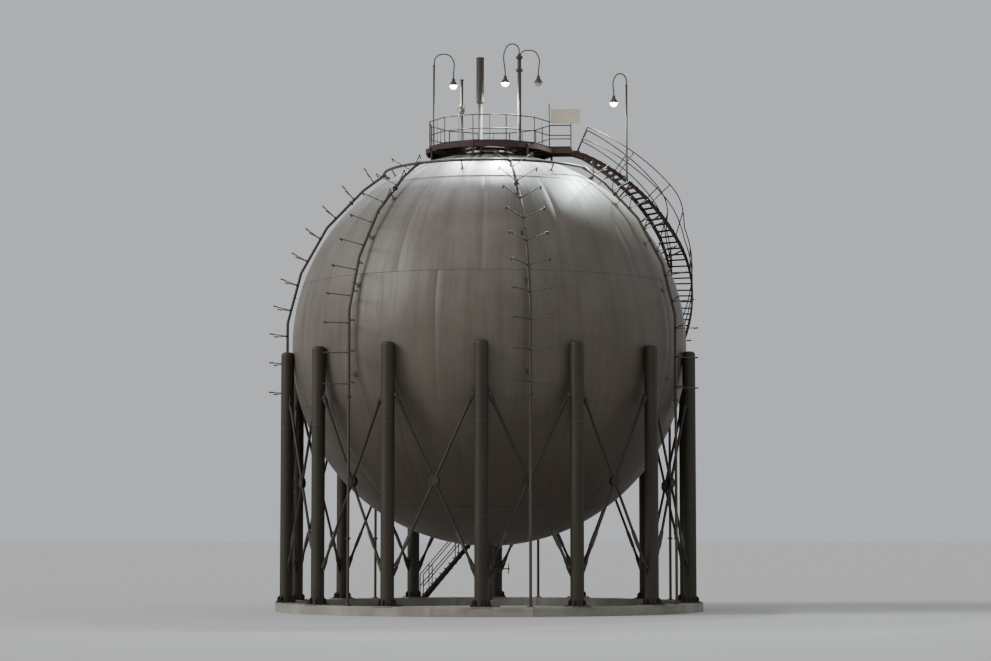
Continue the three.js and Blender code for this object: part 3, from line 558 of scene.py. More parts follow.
def rods_on(place, way, *rows):
    """Rods on one line through a place: each row is a rod's start and end on it, radius and sides."""
    return [rod(place + start * way, place + end * way, *row) for start, end, *row in rows]


def laid(place, along=RIGHT, up=UP):
    """The matrix that lays X along a direction at a place, with Z as near to up as that leaves."""
    along = Vector(along).normalized()
    side = Vector(up).cross(along).normalized()
    matrix = Matrix((along, side, along.cross(side))).transposed().to_4x4()
    matrix.translation = place
    return matrix


def slab(size, centre=(0, 0, 0), along=RIGHT, up=UP, softened=0.003):
    """A flat or square bar with its edges eased."""
    bpy.ops.mesh.primitive_cube_add(size=1, location=(0, 0, 0), scale=size)
    piece = bpy.context.object
    if softened:
        edit()
        bpy.ops.mesh.bevel(offset=softened, segments=1, affect="EDGES")
        leave_edit()
    piece.matrix_world = laid(centre, along, up)
    return piece


def spin_round(piece, count):
    """Copies a piece evenly round the upright axis through the origin."""
    only(piece)
    settle()
    edit_all()
    bpy.ops.mesh.spin(
        steps=count - 1, dupli=True, angle=tau * (count - 1) / count, center=(0, 0, 0), axis=(0, 0, 1))
    leave_edit()
    return piece


def bolt_ring(radius, count, low, high, size, turn=0.0):
    """Hexagon bolts round the upright axis: a head above, a nut below and the shank between."""
    bolt = joined(rods_on(
        radius * RIGHT, UP, (low - size, high + size * 1.3, size * 0.5, 8),
        (high, high + size * 0.75, size, 6), (low - size * 0.75, low, size, 6)))
    spin_round(bolt, count).rotation_euler = (0, 0, turn)
    return coated(bolt, bolt_steel)


def pattern_of(parts):
    """A piece to copy: its parts joined, with their places in its mesh."""
    piece = joined(parts)
    settle()
    return piece


def copied(pattern, matrix):
    copy = pattern.copy()
    copy.data = pattern.data.copy()
    bpy.context.collection.objects.link(copy)
    copy.matrix_world = matrix
    return copy


def discard(*patterns):
    for pattern in patterns:
        bpy.data.objects.remove(pattern)


def bevelled(piece, test, offset, segments=1):
    """Bevels the edges of a piece that pass a test."""
    only(piece)
    edit()
    choose("edges", test)
    bpy.ops.mesh.bevel(offset=offset, segments=segments, affect="EDGES")
    leave_edit()
    return piece


def runs_across(edge):
    return abs((edge.verts[0].co - edge.verts[1].co).normalized().y) > 0.9


def rounded_end(piece, reach, radius):
    """Rounds the two corners of a plate at the far end of its X axis."""
    is_far = wholly(lambda place: place.x > reach)
    return bevelled(piece, lambda edge: is_far(edge) and runs_across(edge), radius, 5)


def all_coated(parts, material):
    return [coated(part, material) for part in parts]


def make_lug():
    """A tie's lug along X, with cheek discs round its hole and the pin through it."""
    plate = rounded_end(slab((LUG_LENGTH, LUG_THICKNESS, LUG_WIDTH), softened=0), 0.3, 0.1)
    plate.location.x = LUG_REACH - LUG_LENGTH / 2
    cheeks, *fixings = rods_on(
        (LUG_REACH - PIN_BACK) * RIGHT, BACK, (-0.026, 0.026, 0.08, 20), (-0.085, 0.085, 0.042, 16),
        (-0.075, -0.053, 0.064, 6), (0.053, 0.075, 0.064, 6))
    return pattern_of(all_coated([plate, cheeks], column_paint) + all_coated(fixings, bolt_steel))


def make_column():
    """A column on the Z axis that faces +X."""
    shaft = rod(BASE_TOP * UP, COLUMN_TOP * UP, COLUMN_RADIUS, 40)
    settle()
    bevelled(shaft, wholly(lambda place: place.z > COLUMN_TOP - 0.001), COLUMN_DOME, 7)
    welds = [hoop(COLUMN_RADIUS, 0.011, 40, 6, location=(0, 0, height)) for height in COLUMN_WELDS]
    plate = slab(
        (BASE_PLATE, BASE_PLATE, BASE_THICKNESS), (BASE_TOP - BASE_THICKNESS / 2) * UP, softened=0.006)
    grout = slab((GROUT_PLATE, GROUT_PLATE, 0.03), (RING_TOP + 0.003) * UP, softened=0.011)
    gusset = slab(GUSSET, (COLUMN_RADIUS + GUSSET[0] / 2 - 0.01, 0, BASE_TOP + GUSSET[2] / 2), softened=0)
    settle()
    bevelled(gusset, wholly(
        lambda place: place.z > BASE_TOP + 0.2 and place.x > COLUMN_RADIUS + 0.05), GUSSET[0] * 0.75)
    parts = all_coated([shaft, plate, spin_round(gusset, GUSSETS)], column_paint)
    parts += [*all_coated(welds, weld_paint), coated(grout, concrete)]
    parts.append(bolt_ring(ANCHOR_CIRCLE, GUSSETS, BASE_TOP - 0.01, BASE_TOP, 0.03, pi / GUSSETS))
    lug = make_lug()
    fall = (TIE_HIGH - TIE_LOW) * UP
    for side in (-1, 1):
        flat = polar(TIE_RUN, side * (pi + PETAL_ANGLE) / 2)
        parts.append(copied(lug, laid(TIE_HIGH * UP, flat - fall)))
        parts.append(copied(lug, laid(TIE_LOW * UP, flat + fall)))
    discard(lug)
    return pattern_of(parts)


column_pattern = make_column()
for index in range(PETALS):
    azimuth = column_azimuth(index)
    column = copied(column_pattern, laid(polar(COLUMN_CIRCLE, azimuth), polar(1, azimuth)))
    finish_piece([column], f"column_{index + 1:02}", "pipe")
discard(column_pattern)

# Ties
# Between neighbouring columns two steel ties cross, pinned to the lugs by forked ends. A turnbuckle
# near the foot of each tightens it, and bolted plates clamp the two where they cross.
TIE_RADIUS = 0.054
FORK_START = 0.66
FORK_LENGTH = 0.34
FORK_GAP = 0.042
SOCKET_LENGTH = 0.2
TURNBUCKLE_AT = 1.9
TURNBUCKLE_HALF = 0.25
CLAMP_RADIUS = 0.21
CLAMP_NEAR = 0.056
CLAMP_FAR = 0.078

tie_paint = painted("tie_paint", 0x322C1F, 0x1D1910, 0.4, 0.4, 0.7, 0.55, 0.1)


def make_tie(length):
    """A tie along X, from its upper lug's column axis to its lower one's."""
    reach = FORK_START + FORK_LENGTH
    parts = [rod(reach * RIGHT, (length - reach) * RIGHT, TIE_RADIUS, 20)]
    for start, way in ((FORK_START, 1), (length - FORK_START, -1)):
        heel = start + way * FORK_LENGTH
        for side in (-1, 1):
            fork = rounded_end(slab((FORK_LENGTH, 0.02, 0.15), softened=0), 0.1, 0.07)
            fork.matrix_world = laid(((start + heel) / 2, side * FORK_GAP, 0), -way * RIGHT)
            parts.append(fork)
        parts += rods_on(heel * RIGHT, way * RIGHT, (-0.05, SOCKET_LENGTH, 0.085, 20, TIE_RADIUS))
    half = TURNBUCKLE_HALF
    fixings = rods_on((length - TURNBUCKLE_AT) * RIGHT, RIGHT, (-half, half, 0.082, 6), *[
        (way * (half + 0.02), way * (half + 0.09), 0.078, 6) for way in (-1, 1)])
    return pattern_of(all_coated(parts, tie_paint) + all_coated(fixings, bolt_steel))


def sideways(azimuth):
    """The level direction that lies a quarter turn on from an azimuth."""
    return polar(1, azimuth + pi / 2)


tie_span = Vector((TIE_RUN, 0, TIE_LOW - TIE_HIGH))
tie_pattern = make_tie(tie_span.length)
crossing = (TIE_HIGH + TIE_LOW) / 2 * UP
tie_pair = [copied(tie_pattern, laid((-way * TIE_RUN / 2, 0, TIE_HIGH), (way * TIE_RUN, 0, tie_span.z)))
            for way in (-1, 1)]
tie_pair += all_coated(rods_on(crossing, BACK, *[
    (side * CLAMP_NEAR, side * CLAMP_FAR, CLAMP_RADIUS, 28) for side in (-1, 1)]), tie_paint)
clamp_bolts = bolt_ring(CLAMP_RADIUS - 0.05, 8, -CLAMP_FAR, CLAMP_FAR, 0.022, pi / 8)
clamp_bolts.matrix_world = laid(crossing, RIGHT, -BACK) @ clamp_bolts.matrix_world
discard(tie_pattern)
cross_pattern = pattern_of([*tie_pair, clamp_bolts])
for index in range(PETALS):
    azimuth = column_azimuth(index + 0.5)
    middle = polar(COLUMN_CIRCLE * cos(PETAL_ANGLE / 2), azimuth)
    ties = copied(cross_pattern, laid(middle, sideways(azimuth)))
    finish_piece([ties], f"brace_{index + 1:02}", "ties")
discard(cross_pattern)

# Crown platform
# A chequer-plate floor with fourteen sides, framed in channel and carried on short legs that are
# welded to pads on the shell. A tongue reaches out to the head of the stair.
DECK_REACH, DECK_RADIUS, DECK_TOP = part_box("top_deck")[1]
DECK_HOLE = 0.95
HOLE_STEPS = 56
RIM_HEIGHT = 0.18
RIM_FLANGE = 0.085
STEEL = 0.012
LEG_RADIUS = 0.048
LEG_CIRCLES = (DECK_RADIUS - 0.1, DECK_HOLE + 0.15)
LEGS_ROUND = 7
FLOOR_PLATE = 0.008
BAR_DEPTH = 0.03
WALK_WIDTH = 0.85

stair_paint = painted("stair_paint", 0x432F28, 0x261A15, 0.35, 0.4, 0.9, 0.6, 0.1)


def raise_tread_pattern(material):
    """Raises short bars on a plate's finish, turned crosswise from one square to the next."""
    tree = material.node_tree
    place = object_place(tree)
    square = add_node(tree, "ShaderNodeTexChecker", {"Vector": place, "Scale": 28.0})["Fac"]
    ways = [add_node(tree, "ShaderNodeTexWave", {"Vector": place, "Scale": 8.9}, bands_direction=way)["Fac"]
            for way in ("X", "Y")]
    bars = add_ramp(tree, add_mix(tree, square, *ways), 0.6, 0.8)
    bump = next(node for node in tree.nodes if node.bl_idname == "ShaderNodeBump")
    rust = bump.inputs["Height"].links[0].from_socket
    feed(tree, bump, {"Height": plus(tree, times(tree, bars, 0.6), rust)})
    return material


plate_paint = raise_tread_pattern(painted("plate_paint", 0x261F1B, 0x17120E, 0.4, 0.2, 1.0, 0.6, 0.2))


def shell_height(radius):
    return EQUATOR + sqrt(SHELL_RADIUS ** 2 - radius ** 2)


def cut_to(piece, cutter, operation="INTERSECT"):
    only(piece)
    apply_modifier("BOOLEAN", object=cutter, operation=operation, solver="MANIFOLD")


def leg_azimuth(index):
    return -pi + tau * (index + 0.5) / LEGS_ROUND


def flat_band(inner, outer, low, high, steps):
    """A turned ring of square section."""
    return turned_piece([(inner, low), (outer, low), (outer, high), (inner, high)], steps, closed=True)


def shell_pad(seat, azimuth, outwards, radius):
    """A round pad that lies on the shell's plate."""
    pad = rod(-0.02 * UP, 0.012 * UP, radius, 20)
    pad.matrix_world = laid(seat, sideways(azimuth), outwards)
    return pad


floor_plate, hole = rods_on(
    DECK_TOP * UP, UP, (-FLOOR_PLATE, 0, DECK_RADIUS - STEEL / 2, PETALS),
    (-0.5, 0.5, DECK_HOLE + STEEL / 2, HOLE_STEPS))
cut_to(floor_plate, hole, "DIFFERENCE")
discard(hole)
tongue = slab((DECK_REACH - DECK_RADIUS + 0.05, WALK_WIDTH + 0.16, FLOOR_PLATE), (
    (DECK_REACH + DECK_RADIUS - 0.09) / 2, 0, DECK_TOP - FLOOR_PLATE / 2), softened=0)
deck_parts = [flat_band(DECK_HOLE, DECK_HOLE + STEEL, DECK_TOP - 0.1, DECK_TOP + 0.09, HOLE_STEPS)]
for low, high, inner, outer in (
        (-RIM_HEIGHT, 0, STEEL, 0), (-RIM_HEIGHT, STEEL - RIM_HEIGHT, RIM_FLANGE, STEEL / 2),
        (-BAR_DEPTH - STEEL, -BAR_DEPTH, RIM_FLANGE, STEEL / 2)):
    rim = flat_band(DECK_RADIUS - inner, DECK_RADIUS - outer, DECK_TOP + low, DECK_TOP + high, PETALS)
    rim.rotation_euler.z = PETAL_ANGLE / 2
    deck_parts.append(rim)
for azimuth in map(leg_azimuth, range(LEGS_ROUND)):
    for radius in LEG_CIRCLES:
        foot = polar(radius, azimuth, shell_height(radius) - 0.02)
        deck_parts += [rod(foot, polar(radius, azimuth, DECK_TOP - 0.12), LEG_RADIUS, 12),
                       shell_pad(foot + 0.02 * UP, azimuth, foot - CENTRE, 0.12)]
    joist = polar(sum(LEG_CIRCLES) / 2 + 0.02, azimuth, DECK_TOP - BAR_DEPTH - 0.06)
    deck_parts.append(slab((1.62, 0.055, 0.11), joist, polar(1, azimuth)))
for side in (-1, 1):
    bearer = ((DECK_REACH + DECK_RADIUS - 0.34) / 2, side * (WALK_WIDTH / 2 + 0.08), DECK_TOP - 0.09)
    deck_parts.append(slab((DECK_REACH - DECK_RADIUS + 0.34, 0.05, RIM_HEIGHT), bearer))
deck_parts.append(slab((0.04, WALK_WIDTH + 0.2, 0.1), (DECK_REACH - 0.02, 0, DECK_TOP - 0.05)))
finish_piece(all_coated(deck_parts, stair_paint) + all_coated([floor_plate, tongue], plate_paint),
             "top_deck", "plates")

# Platform railing
# Round tube with a middle rail and a toe plate all round, its posts bolted down to the rim. The
# post at the head of the stair runs up taller.
RAIL_HEIGHT = 1.12
RAIL_RADIUS = 0.023
RAIL_BEND = 0.12
TOE_HEIGHT = 0.11
TOE_PLATE = 0.006
RAIL_PANELS = 11
RAIL_CIRCLE = DECK_RADIUS - 0.15
GATE_HALF = WALK_WIDTH / 2 + 0.045
TALL_POST = 1.87


def rounded(points, radius, steps=5):
    """A path through the points with an arc at each corner."""
    points = [Vector(point) for point in points]
    path = [points[0]]
    for before, corner, after in zip(points, points[1:], points[2:]):
        back = (before - corner).normalized()
        ahead = (after - corner).normalized()
        half = back.angle(ahead) / 2
        centre = corner + (back + ahead).normalized() * radius / sin(half)
        start = corner + back * radius / tan(half) - centre
        end = corner + ahead * radius / tan(half) - centre
        path += [centre + start.slerp(end, i / steps) * radius for i in range(steps + 1)]
    return [*path, points[-1]]


def tube(points, radius, sides=12, smooth=False):
    """A round tube along a path, drawn as a curve with a round section and made a mesh."""
    piece = drawn_curve(points, smooth=smooth)
    piece.data.resolution_u = 6
    piece.data.bevel_depth = radius
    piece.data.bevel_resolution = (sides - 4) // 2
    piece.data.use_fill_caps = True
    return closed_up(as_mesh(piece))


gate_angle = asin(GATE_HALF / RAIL_CIRCLE)
gate_posts = [Vector((DECK_REACH - 0.06, side * GATE_HALF, DECK_TOP)) for side in (1, -1)]
rail_corners = [gate_posts[0], *[
    polar(RAIL_CIRCLE, gate_angle + (tau - 2 * gate_angle) * panel / RAIL_PANELS, DECK_TOP)
    for panel in range(RAIL_PANELS + 1)], gate_posts[1]]
railing_parts = [tube(rounded([corner + height * UP for corner in rail_corners], RAIL_BEND), RAIL_RADIUS)
                 for height in (RAIL_HEIGHT, RAIL_HEIGHT / 2)]
for index, corner in enumerate(rail_corners):
    height = TALL_POST if index == len(rail_corners) - 2 else RAIL_HEIGHT
    railing_parts += [rod(corner, corner + height * UP, RAIL_RADIUS, 12),
                      slab((0.13, 0.13, 0.012), corner + 0.006 * UP, corner.xy.to_3d())]
for start, end in zip(rail_corners, rail_corners[1:]):
    middle = (start + end) / 2
    toe = middle + TOE_HEIGHT / 2 * UP
    railing_parts.append(slab(((end - start).length, TOE_PLATE, TOE_HEIGHT), toe, end - start, softened=0))
    if (end - start).length > 1.1:
        railing_parts.append(rod(toe, middle + RAIL_HEIGHT * UP, 0.013, 8))
finish_piece(all_coated(railing_parts, stair_paint), "deck_railing", "tubes")

# Crown manway
# A short neck on top of the shell, closed by a bolted cover with two lifting eyes.
NECK = 0.42
FLANGE = 0.62
MANWAY_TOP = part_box("crown_manway")[1].z
MANWAY_SEAT = DECK_TOP + 0.12

pipe_paint = painted("pipe_paint", 0x4B433A, 0x2E2822, 0.4, 0.4, 0.6, 0.5, 0.1)


def above(base, *profile):
    """A profile of (radius, height) pairs, its heights counted from a base."""
    return [(radius, base + height) for radius, height in profile]


neck = turned_piece(above(
    MANWAY_SEAT, (0, -0.6), (NECK, -0.6), (NECK, -0.03), (NECK + 0.03, 0), (FLANGE, 0), (FLANGE, 0.062),
    (FLANGE - 0.06, 0.066), (FLANGE - 0.06, 0.074), (FLANGE, 0.078)) + above(
    MANWAY_TOP, (FLANGE, -0.006), (FLANGE - 0.006, 0), (0, 0)), 56)
eyes = [hoop(0.05, 0.011, 20, 8, location=(0.15, side * 0.33, MANWAY_TOP + 0.045), rotation=(pi / 2, 0, 0))
        for side in (-1, 1)]
cover_bolts = bolt_ring(FLANGE - 0.065, 24, MANWAY_SEAT, MANWAY_TOP - 0.002, 0.024)
finish_piece([*all_coated([neck, *eyes], pipe_paint), cover_bolts], "crown_manway", "cover")

# Vent stack
# A relief pipe bolted to the manway cover, widening above head height into a silencer drum that is
# open at the top.
VENT_X = -0.38
VENT_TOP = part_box("vent_stack")[1].z
VENT_PIPE = 0.09
DRUM = 0.16
DRUM_LOW = EQUATOR + 10.15


def moved(piece, x):
    piece.location.x = x
    return piece


vent = coated(turned_piece(above(
    MANWAY_TOP, (0, 0), (0.2, 0), (0.2, 0.024), (0.15, 0.026), (0.15, 0.03), (0.2, 0.032), (0.2, 0.056),
    (0.12, 0.056), (VENT_PIPE, 0.12)) + above(
    DRUM_LOW, (VENT_PIPE, -0.08), (DRUM, 0), (DRUM, 0.6), (DRUM + 0.006, 0.6), (DRUM + 0.006, 0.66),
    (DRUM, 0.66)) + above(
    VENT_TOP, (DRUM, -0.05), (DRUM + 0.008, -0.05), (DRUM + 0.008, 0), (DRUM - 0.01, 0),
    (DRUM - 0.01, -0.5), (0, -0.5)), 32), pipe_paint)
vent_bolts = bolt_ring(0.172, 8, MANWAY_TOP + 0.002, MANWAY_TOP + 0.055, 0.016)
finish_piece([moved(joined([vent, vent_bolts]), VENT_X)], "vent_stack", "pipe")

# Valve pipe
# A slim riser on the platform with a globe valve between flanges above head height, its handwheel
# turned to the near side.
VALVE_X = -1.13
VALVE_HEIGHT = EQUATOR + 9.8
VALVE_PIPE = 0.055
VALVE_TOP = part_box("valve_pipe")[1].z
WHEEL_REACH = 0.425
WHEEL_RADIUS = 0.16


def handwheel(place, axis, radius, material):
    """A spoked wheel whose stem runs along an axis."""
    rim = hoop(radius, 0.013, 32, 8, location=(0, 0, 0))
    spokes = spin_round(rod(0.02 * RIGHT, radius * RIGHT, 0.009, 8), 5)
    hub = rod(-0.03 * UP, 0.03 * UP, 0.035, 16)
    wheel = pattern_of(all_coated([rim, spokes, hub], material))
    wheel.matrix_world = laid(place, axis.orthogonal(), axis)
    return wheel


valve_body = turned_piece(above(
    DECK_TOP, (0, 0), (0.145, 0), (0.145, 0.02), (0.145, 0.04), (0.08, 0.042), (VALVE_PIPE, 0.1)) + above(
    VALVE_HEIGHT, (VALVE_PIPE, -0.17), (0.12, -0.17), (0.12, -0.12), (0.075, -0.11), (0.11, -0.05), (0.12, 0),
    (0.11, 0.05), (0.075, 0.11), (0.12, 0.12), (0.12, 0.17), (VALVE_PIPE, 0.17)) + above(
    VALVE_TOP, (VALVE_PIPE, -0.05), (0.08, -0.05), (0.08, 0), (0, 0)), 24)
bonnet, stem = rods_on(
    VALVE_HEIGHT * UP, BACK, (-0.06, -0.24, 0.075, 20, 0.05), (-0.2, -WHEEL_REACH - 0.02, 0.018, 12))
wheel = handwheel((0, -WHEEL_REACH, VALVE_HEIGHT), BACK, WHEEL_RADIUS, pipe_paint)
foot_bolts = bolt_ring(0.115, 4, DECK_TOP + 0.01, DECK_TOP + 0.04, 0.014)
valve = joined([*all_coated([valve_body, bonnet], pipe_paint), coated(stem, bolt_steel), wheel, foot_bolts])
finish_piece([moved(valve, VALVE_X)], "valve_pipe", "and_wheel")

# Lamps
# Enamelled bell shades hang from hooked arms of bent tube, each with a frosted globe in a wire
# guard. They light the platform, the stair and the crown of the shell past the platform's edge.
SHADE = 0.185
SHADE_LOW = -0.06
SHADE_HIGH = 0.13
GLASS_RADIUS = 0.145
ARM_RADIUS = 0.026
POST_RADIUS = 0.04
LAMP_RISE = 0.52
DECK_LAMP_X = -2.28
DECK_LAMP_POWER = 3500
THROW_ANGLE = radians(32)

lamp_paint = painted("lamp_paint", 0x474642, 0x302E2A, 0.3, 0.25, 0.3, 0.45, 0.2)
lamp_enamel = painted("lamp_enamel", 0xE9E7DF, 0xB4AFA2, 0.3, 0.2, 0.2, 0.3)
lamp_glow = painted("lamp_glow", 0xF2F8F6, 0xC6CCC9, 0.3, 0.2, 0.0, 0.2)
feed(lamp_glow.node_tree, lamp_glow.node_tree.nodes["Principled BSDF"], {
    "Emission Color": linear(0xEFFBFA), "Emission Strength": 30})
lamp_frost = painted("lamp_frost", 0xB9BDBA, 0x7E7E78, 0.4, 0.2, 0.1, 0.35)


def make_lamp_head(glass_finish):
    """A shade, its neck, the glass and the guard, about a lamp centre at the origin."""
    shade = turned_piece([
        (0.05, SHADE_HIGH + 0.02), (0.07, SHADE_HIGH), (0.09, 0.09), (0.125, 0.045), (0.165, -0.02),
        (SHADE, SHADE_LOW), (SHADE + 0.006, SHADE_LOW - 0.003), (SHADE + 0.004, -0.05), (0.172, -0.018),
        (0.132, 0.05), (0.097, 0.098), (0.075, SHADE_HIGH + 0.01)], 32, closed=True)
    lining = turned_piece([
        (0.003, SHADE_HIGH - 0.03), (0.06, SHADE_HIGH - 0.035), (0.088, 0.085), (0.122, 0.04),
        (0.162, -0.024), (SHADE - 0.004, SHADE_LOW), (SHADE - 0.006, SHADE_LOW), (0.158, -0.024),
        (0.118, 0.036), (0.084, 0.08), (0.056, SHADE_HIGH - 0.04), (0.003, SHADE_HIGH - 0.036)],
        32, closed=True)
    neck = turned_piece([
        (0, 0.1), (0.055, 0.1), (0.068, SHADE_HIGH), (0.07, 0.2), (0.06, 0.23), (0.034, 0.262),
        (0, 0.262)], 20)
    bpy.ops.mesh.primitive_uv_sphere_add(
        segments=24, ring_count=14, radius=GLASS_RADIUS, location=(0, 0, SHADE_LOW))
    glass = bpy.context.object
    wire = tube(rounded([(0.175, 0, -0.055), (0.165, 0, -0.14), (0, 0, -0.215)], 0.05), 0.004, 6)
    guard = spin_round(wire, 6)
    return pattern_of([
        coated(shade, lamp_paint), coated(lining, lamp_enamel), coated(neck, lamp_paint),
        coated(glass, glass_finish), coated(guard, bolt_steel)])


def light_below(place, power):
    """A lamp's light, thrown down and towards the near side in a wide soft cone."""
    bpy.ops.object.light_add(type="SPOT", location=place - 0.25 * UP, rotation=(-THROW_ANGLE, 0, 0))
    light = bpy.context.object.data
    light.energy = power
    light.color = linear(0xE9F7F6)[:3]
    light.spot_size = radians(130)
    light.spot_blend = 1.0
    light.shadow_soft_size = 0.3


def lamp_arm(root, reach, rise, lamp_z, head, power):
    """A hooked arm from its root on the post, over and down to a lamp head, lit if it has power."""
    lamp = Vector((root.x + reach, root.y, lamp_z))
    if power:
        light_below(lamp, power)
    points = [root + out * reach * RIGHT + up * rise * UP for out, up in (
        (0, 0), (0.1, 0.75), (0.5, 1), (0.92, 0.7))]
    arm = tube([*points, lamp + 0.25 * UP], ARM_RADIUS, smooth=True)
    return [coated(arm, lamp_paint), copied(head, Matrix.Translation(lamp))]


def lamp_post(foot, top, reach, lamp_z, power):
    """A post of tube with a collar at its head and a lit lamp on an arm."""
    root = Vector((*foot.xy, top - LAMP_RISE))
    post = rods_on(root, UP, (foot.z - root.z, 0, POST_RADIUS, 20), (-0.06, 0.02, 0.048, 20))
    return all_coated(post, lamp_paint) + lamp_arm(
        root - 0.04 * UP, reach, LAMP_RISE, lamp_z, lamp_head, power)


def footed(x, radius, height):
    """A bolted foot plate on the platform."""
    plate = turned_piece(above(DECK_TOP, (0, 0), (radius, 0), (radius, height), (0, height)), 28)
    bolts = bolt_ring(radius - 0.03, 6, DECK_TOP, DECK_TOP + height, 0.013)
    return moved(pattern_of([coated(plate, lamp_paint), bolts]), x)


lamp_head = make_lamp_head(lamp_glow)
finish_piece([
    footed(DECK_LAMP_X, 0.11, 0.025),
    *lamp_post(Vector((DECK_LAMP_X, 0, DECK_TOP)), EQUATOR + 12.2, 0.8, EQUATOR + 10.9, DECK_LAMP_POWER),
], "deck_lamp", "post")

# Lamp mast
# A flanged pipe mast beside the manway with two hooked arms that leave it at different heights. The
# lamp on the right has gone out.
MAST_X = 1.23
MAST_TOP = EQUATOR + 12.15
MAST_RADIUS = 0.08
MAST_FLANGE = 0.14
MAST_FLANGES = (EQUATOR + 11.47, EQUATOR + 12.0)
MAST_LAMPS = EQUATOR + 11.0
MAST_LAMP_POWER = 15000
ORIGIN = Vector()

mast_parts = all_coated(rods_on(ORIGIN, UP, (DECK_TOP, MAST_TOP, MAST_RADIUS, 28), *[
    (height + low, height + low + 0.044, MAST_FLANGE, 28)
    for height in MAST_FLANGES for low in (-0.048, 0.004)]), lamp_paint)
mast_parts += [bolt_ring(MAST_FLANGE - 0.028, 6, height - 0.048, height + 0.048, 0.014)
               for height in MAST_FLANGES]
mast = moved(pattern_of(mast_parts), MAST_X)
dark_head = make_lamp_head(lamp_frost)
finish_piece([
    mast, footed(MAST_X, 0.19, 0.04),
    *lamp_arm(Vector((MAST_X, 0, MAST_TOP - 0.05)), -0.58, 0.47, MAST_LAMPS, lamp_head, MAST_LAMP_POWER),
    *lamp_arm(Vector((MAST_X, 0, MAST_TOP - 0.3)), 0.78, 0.45, MAST_LAMPS, dark_head, 0),
], "lamp_mast", "pipe")
discard(dark_head)

# Rail panel
# A blank sheet panel with a folded edge, clipped to the outside of the rail at the stair head.
PANEL_SIZE = (1.2, 0.006, 0.6)
PANEL_CORNER = 0.05

panel_paint = painted("panel_paint", 0xC6BEAE, 0x94887A, 0.3, 0.15, 0.2, 0.55)

panel_low, panel_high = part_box("rail_panel")
panel_centre = (panel_low + panel_high) / 2
sheet = bevelled(slab(PANEL_SIZE, softened=0), runs_across, PANEL_CORNER, 5)
edit()
choose("faces", lambda face: abs(face.normal.y) > 0.9)
bpy.ops.mesh.inset(thickness=0.022, depth=-0.0015)
leave_edit()
sheet.location = panel_centre
panel_parts = [coated(sheet, panel_paint)]
for along, rise in product((-0.5, 0.5), (-0.22, 0.22)):
    clip = panel_centre + Vector((along, 0, rise))
    panel_parts += all_coated(rods_on(clip, BACK, (-0.012, 0.02, 0.012, 6)), bolt_steel)
finish_piece(panel_parts, "rail_panel", "sheet")

# Upper stair
# It leaves the platform's tongue square, turns a little as it follows the shell's curve down, then
# winds round at a steady slope to the first landing. Grating treads hang between rolled channels.
STAIR_RADIUS = 8.82
STAIR_SWELL = 0.4
SWELL_LATITUDE = 60
STAIR_TURN = 0.45
TURN_SPAN = 8
STAIR_SLOPE = radians(52)
PLUMB_LATITUDE = 44
PLUMB_SPAN = 16
LATITUDE_STEP = 0.25
STRINGER_DROP = 0.06
STRINGER_WIDTH = 0.06
TREAD_PITCH = 0.3
TREAD_DEPTH = 0.25
TREAD_THICKNESS = 0.04
CHANNEL_DEPTH = 0.15
CHANNEL_WEB = 0.009
POST_EVERY = 6
PROP_STEPS = (8, 14, 20)
PROP_RADIUS = 0.034


def repeated(piece, count, step):
    only(piece)
    settle()
    apply_modifier("ARRAY", count=count, use_relative_offset=False, use_constant_offset=True,
                   constant_offset_displace=step)
    return piece


def stair_path():
    """Places down the middle of the stair, each with its azimuth and how plumb its posts stand."""
    samples = []
    lat = top_latitude = degrees(asin((DECK_TOP - EQUATOR) / STAIR_RADIUS))
    azimuth = 0.0
    while lat > 0:
        winding = 1 / tan(STAIR_SLOPE) ** 2 - tan(radians(lat)) ** 2
        turn = STAIR_TURN * min(1, (top_latitude - lat) / TURN_SPAN)
        azimuth += LATITUDE_STEP * sqrt(max(turn ** 2, winding))
        swell = STAIR_SWELL * max(0, 1 - lat / SWELL_LATITUDE)
        reach = (STAIR_RADIUS + swell) * cos(radians(lat))
        place = polar(reach, radians(azimuth), EQUATOR + STAIR_RADIUS * sin(radians(lat)))
        samples.append((azimuth, min(1, max(0, (PLUMB_LATITUDE - lat) / PLUMB_SPAN)), place))
        lat -= LATITUDE_STEP
    return samples


def steps_along(samples):
    """Treads at even distances: each one's place, level heading, way across and lean of its posts."""
    steps = []
    walked = TREAD_PITCH / 2
    for (_, _, before), (_, plumb, place) in zip(samples, samples[1:]):
        walked += (place - before).length
        if walked < TREAD_PITCH:
            continue
        walked -= TREAD_PITCH
        heading = (place - before).xy.to_3d().normalized()
        outwards = (place - CENTRE).normalized()
        steps.append((place, heading, UP.cross(heading), outwards.lerp(UP, plumb).normalized()))
    return steps


def make_tread():
    """A grating tread that faces +X, its top at the origin's height, with a folded nosing."""
    front, half = TREAD_DEPTH / 2, WALK_WIDTH / 2
    bars = slab((0.005, WALK_WIDTH, 0.03), (0.01 - front, 0, -0.015), softened=0)
    rods = slab((TREAD_DEPTH, 0.007, 0.007), (0, 0.05 - half, -0.005), softened=0)
    parts = [repeated(bars, 8, (0.031, 0, 0)), repeated(rods, 8, (0, 0.107, 0))]
    for size, centre in (
            ((0.032, WALK_WIDTH, 0.004), (front - 0.016, 0, 0)),
            ((0.004, WALK_WIDTH, TREAD_THICKNESS), (front, 0, -TREAD_THICKNESS / 2)),
            ((TREAD_DEPTH, 0.006, 0.06), (0, 0.003 - half, -0.03)),
            ((TREAD_DEPTH, 0.006, 0.06), (0, half - 0.003, -0.03))):
        parts.append(slab(size, centre, softened=0))
    for side, along in product((-1, 1), (-0.08, 0.08)):
        parts += rods_on(Vector((along, 0, -0.035)), side * BACK, (half, half + 0.04, 0.011, 6))
    return pattern_of(all_coated(parts, stair_paint))


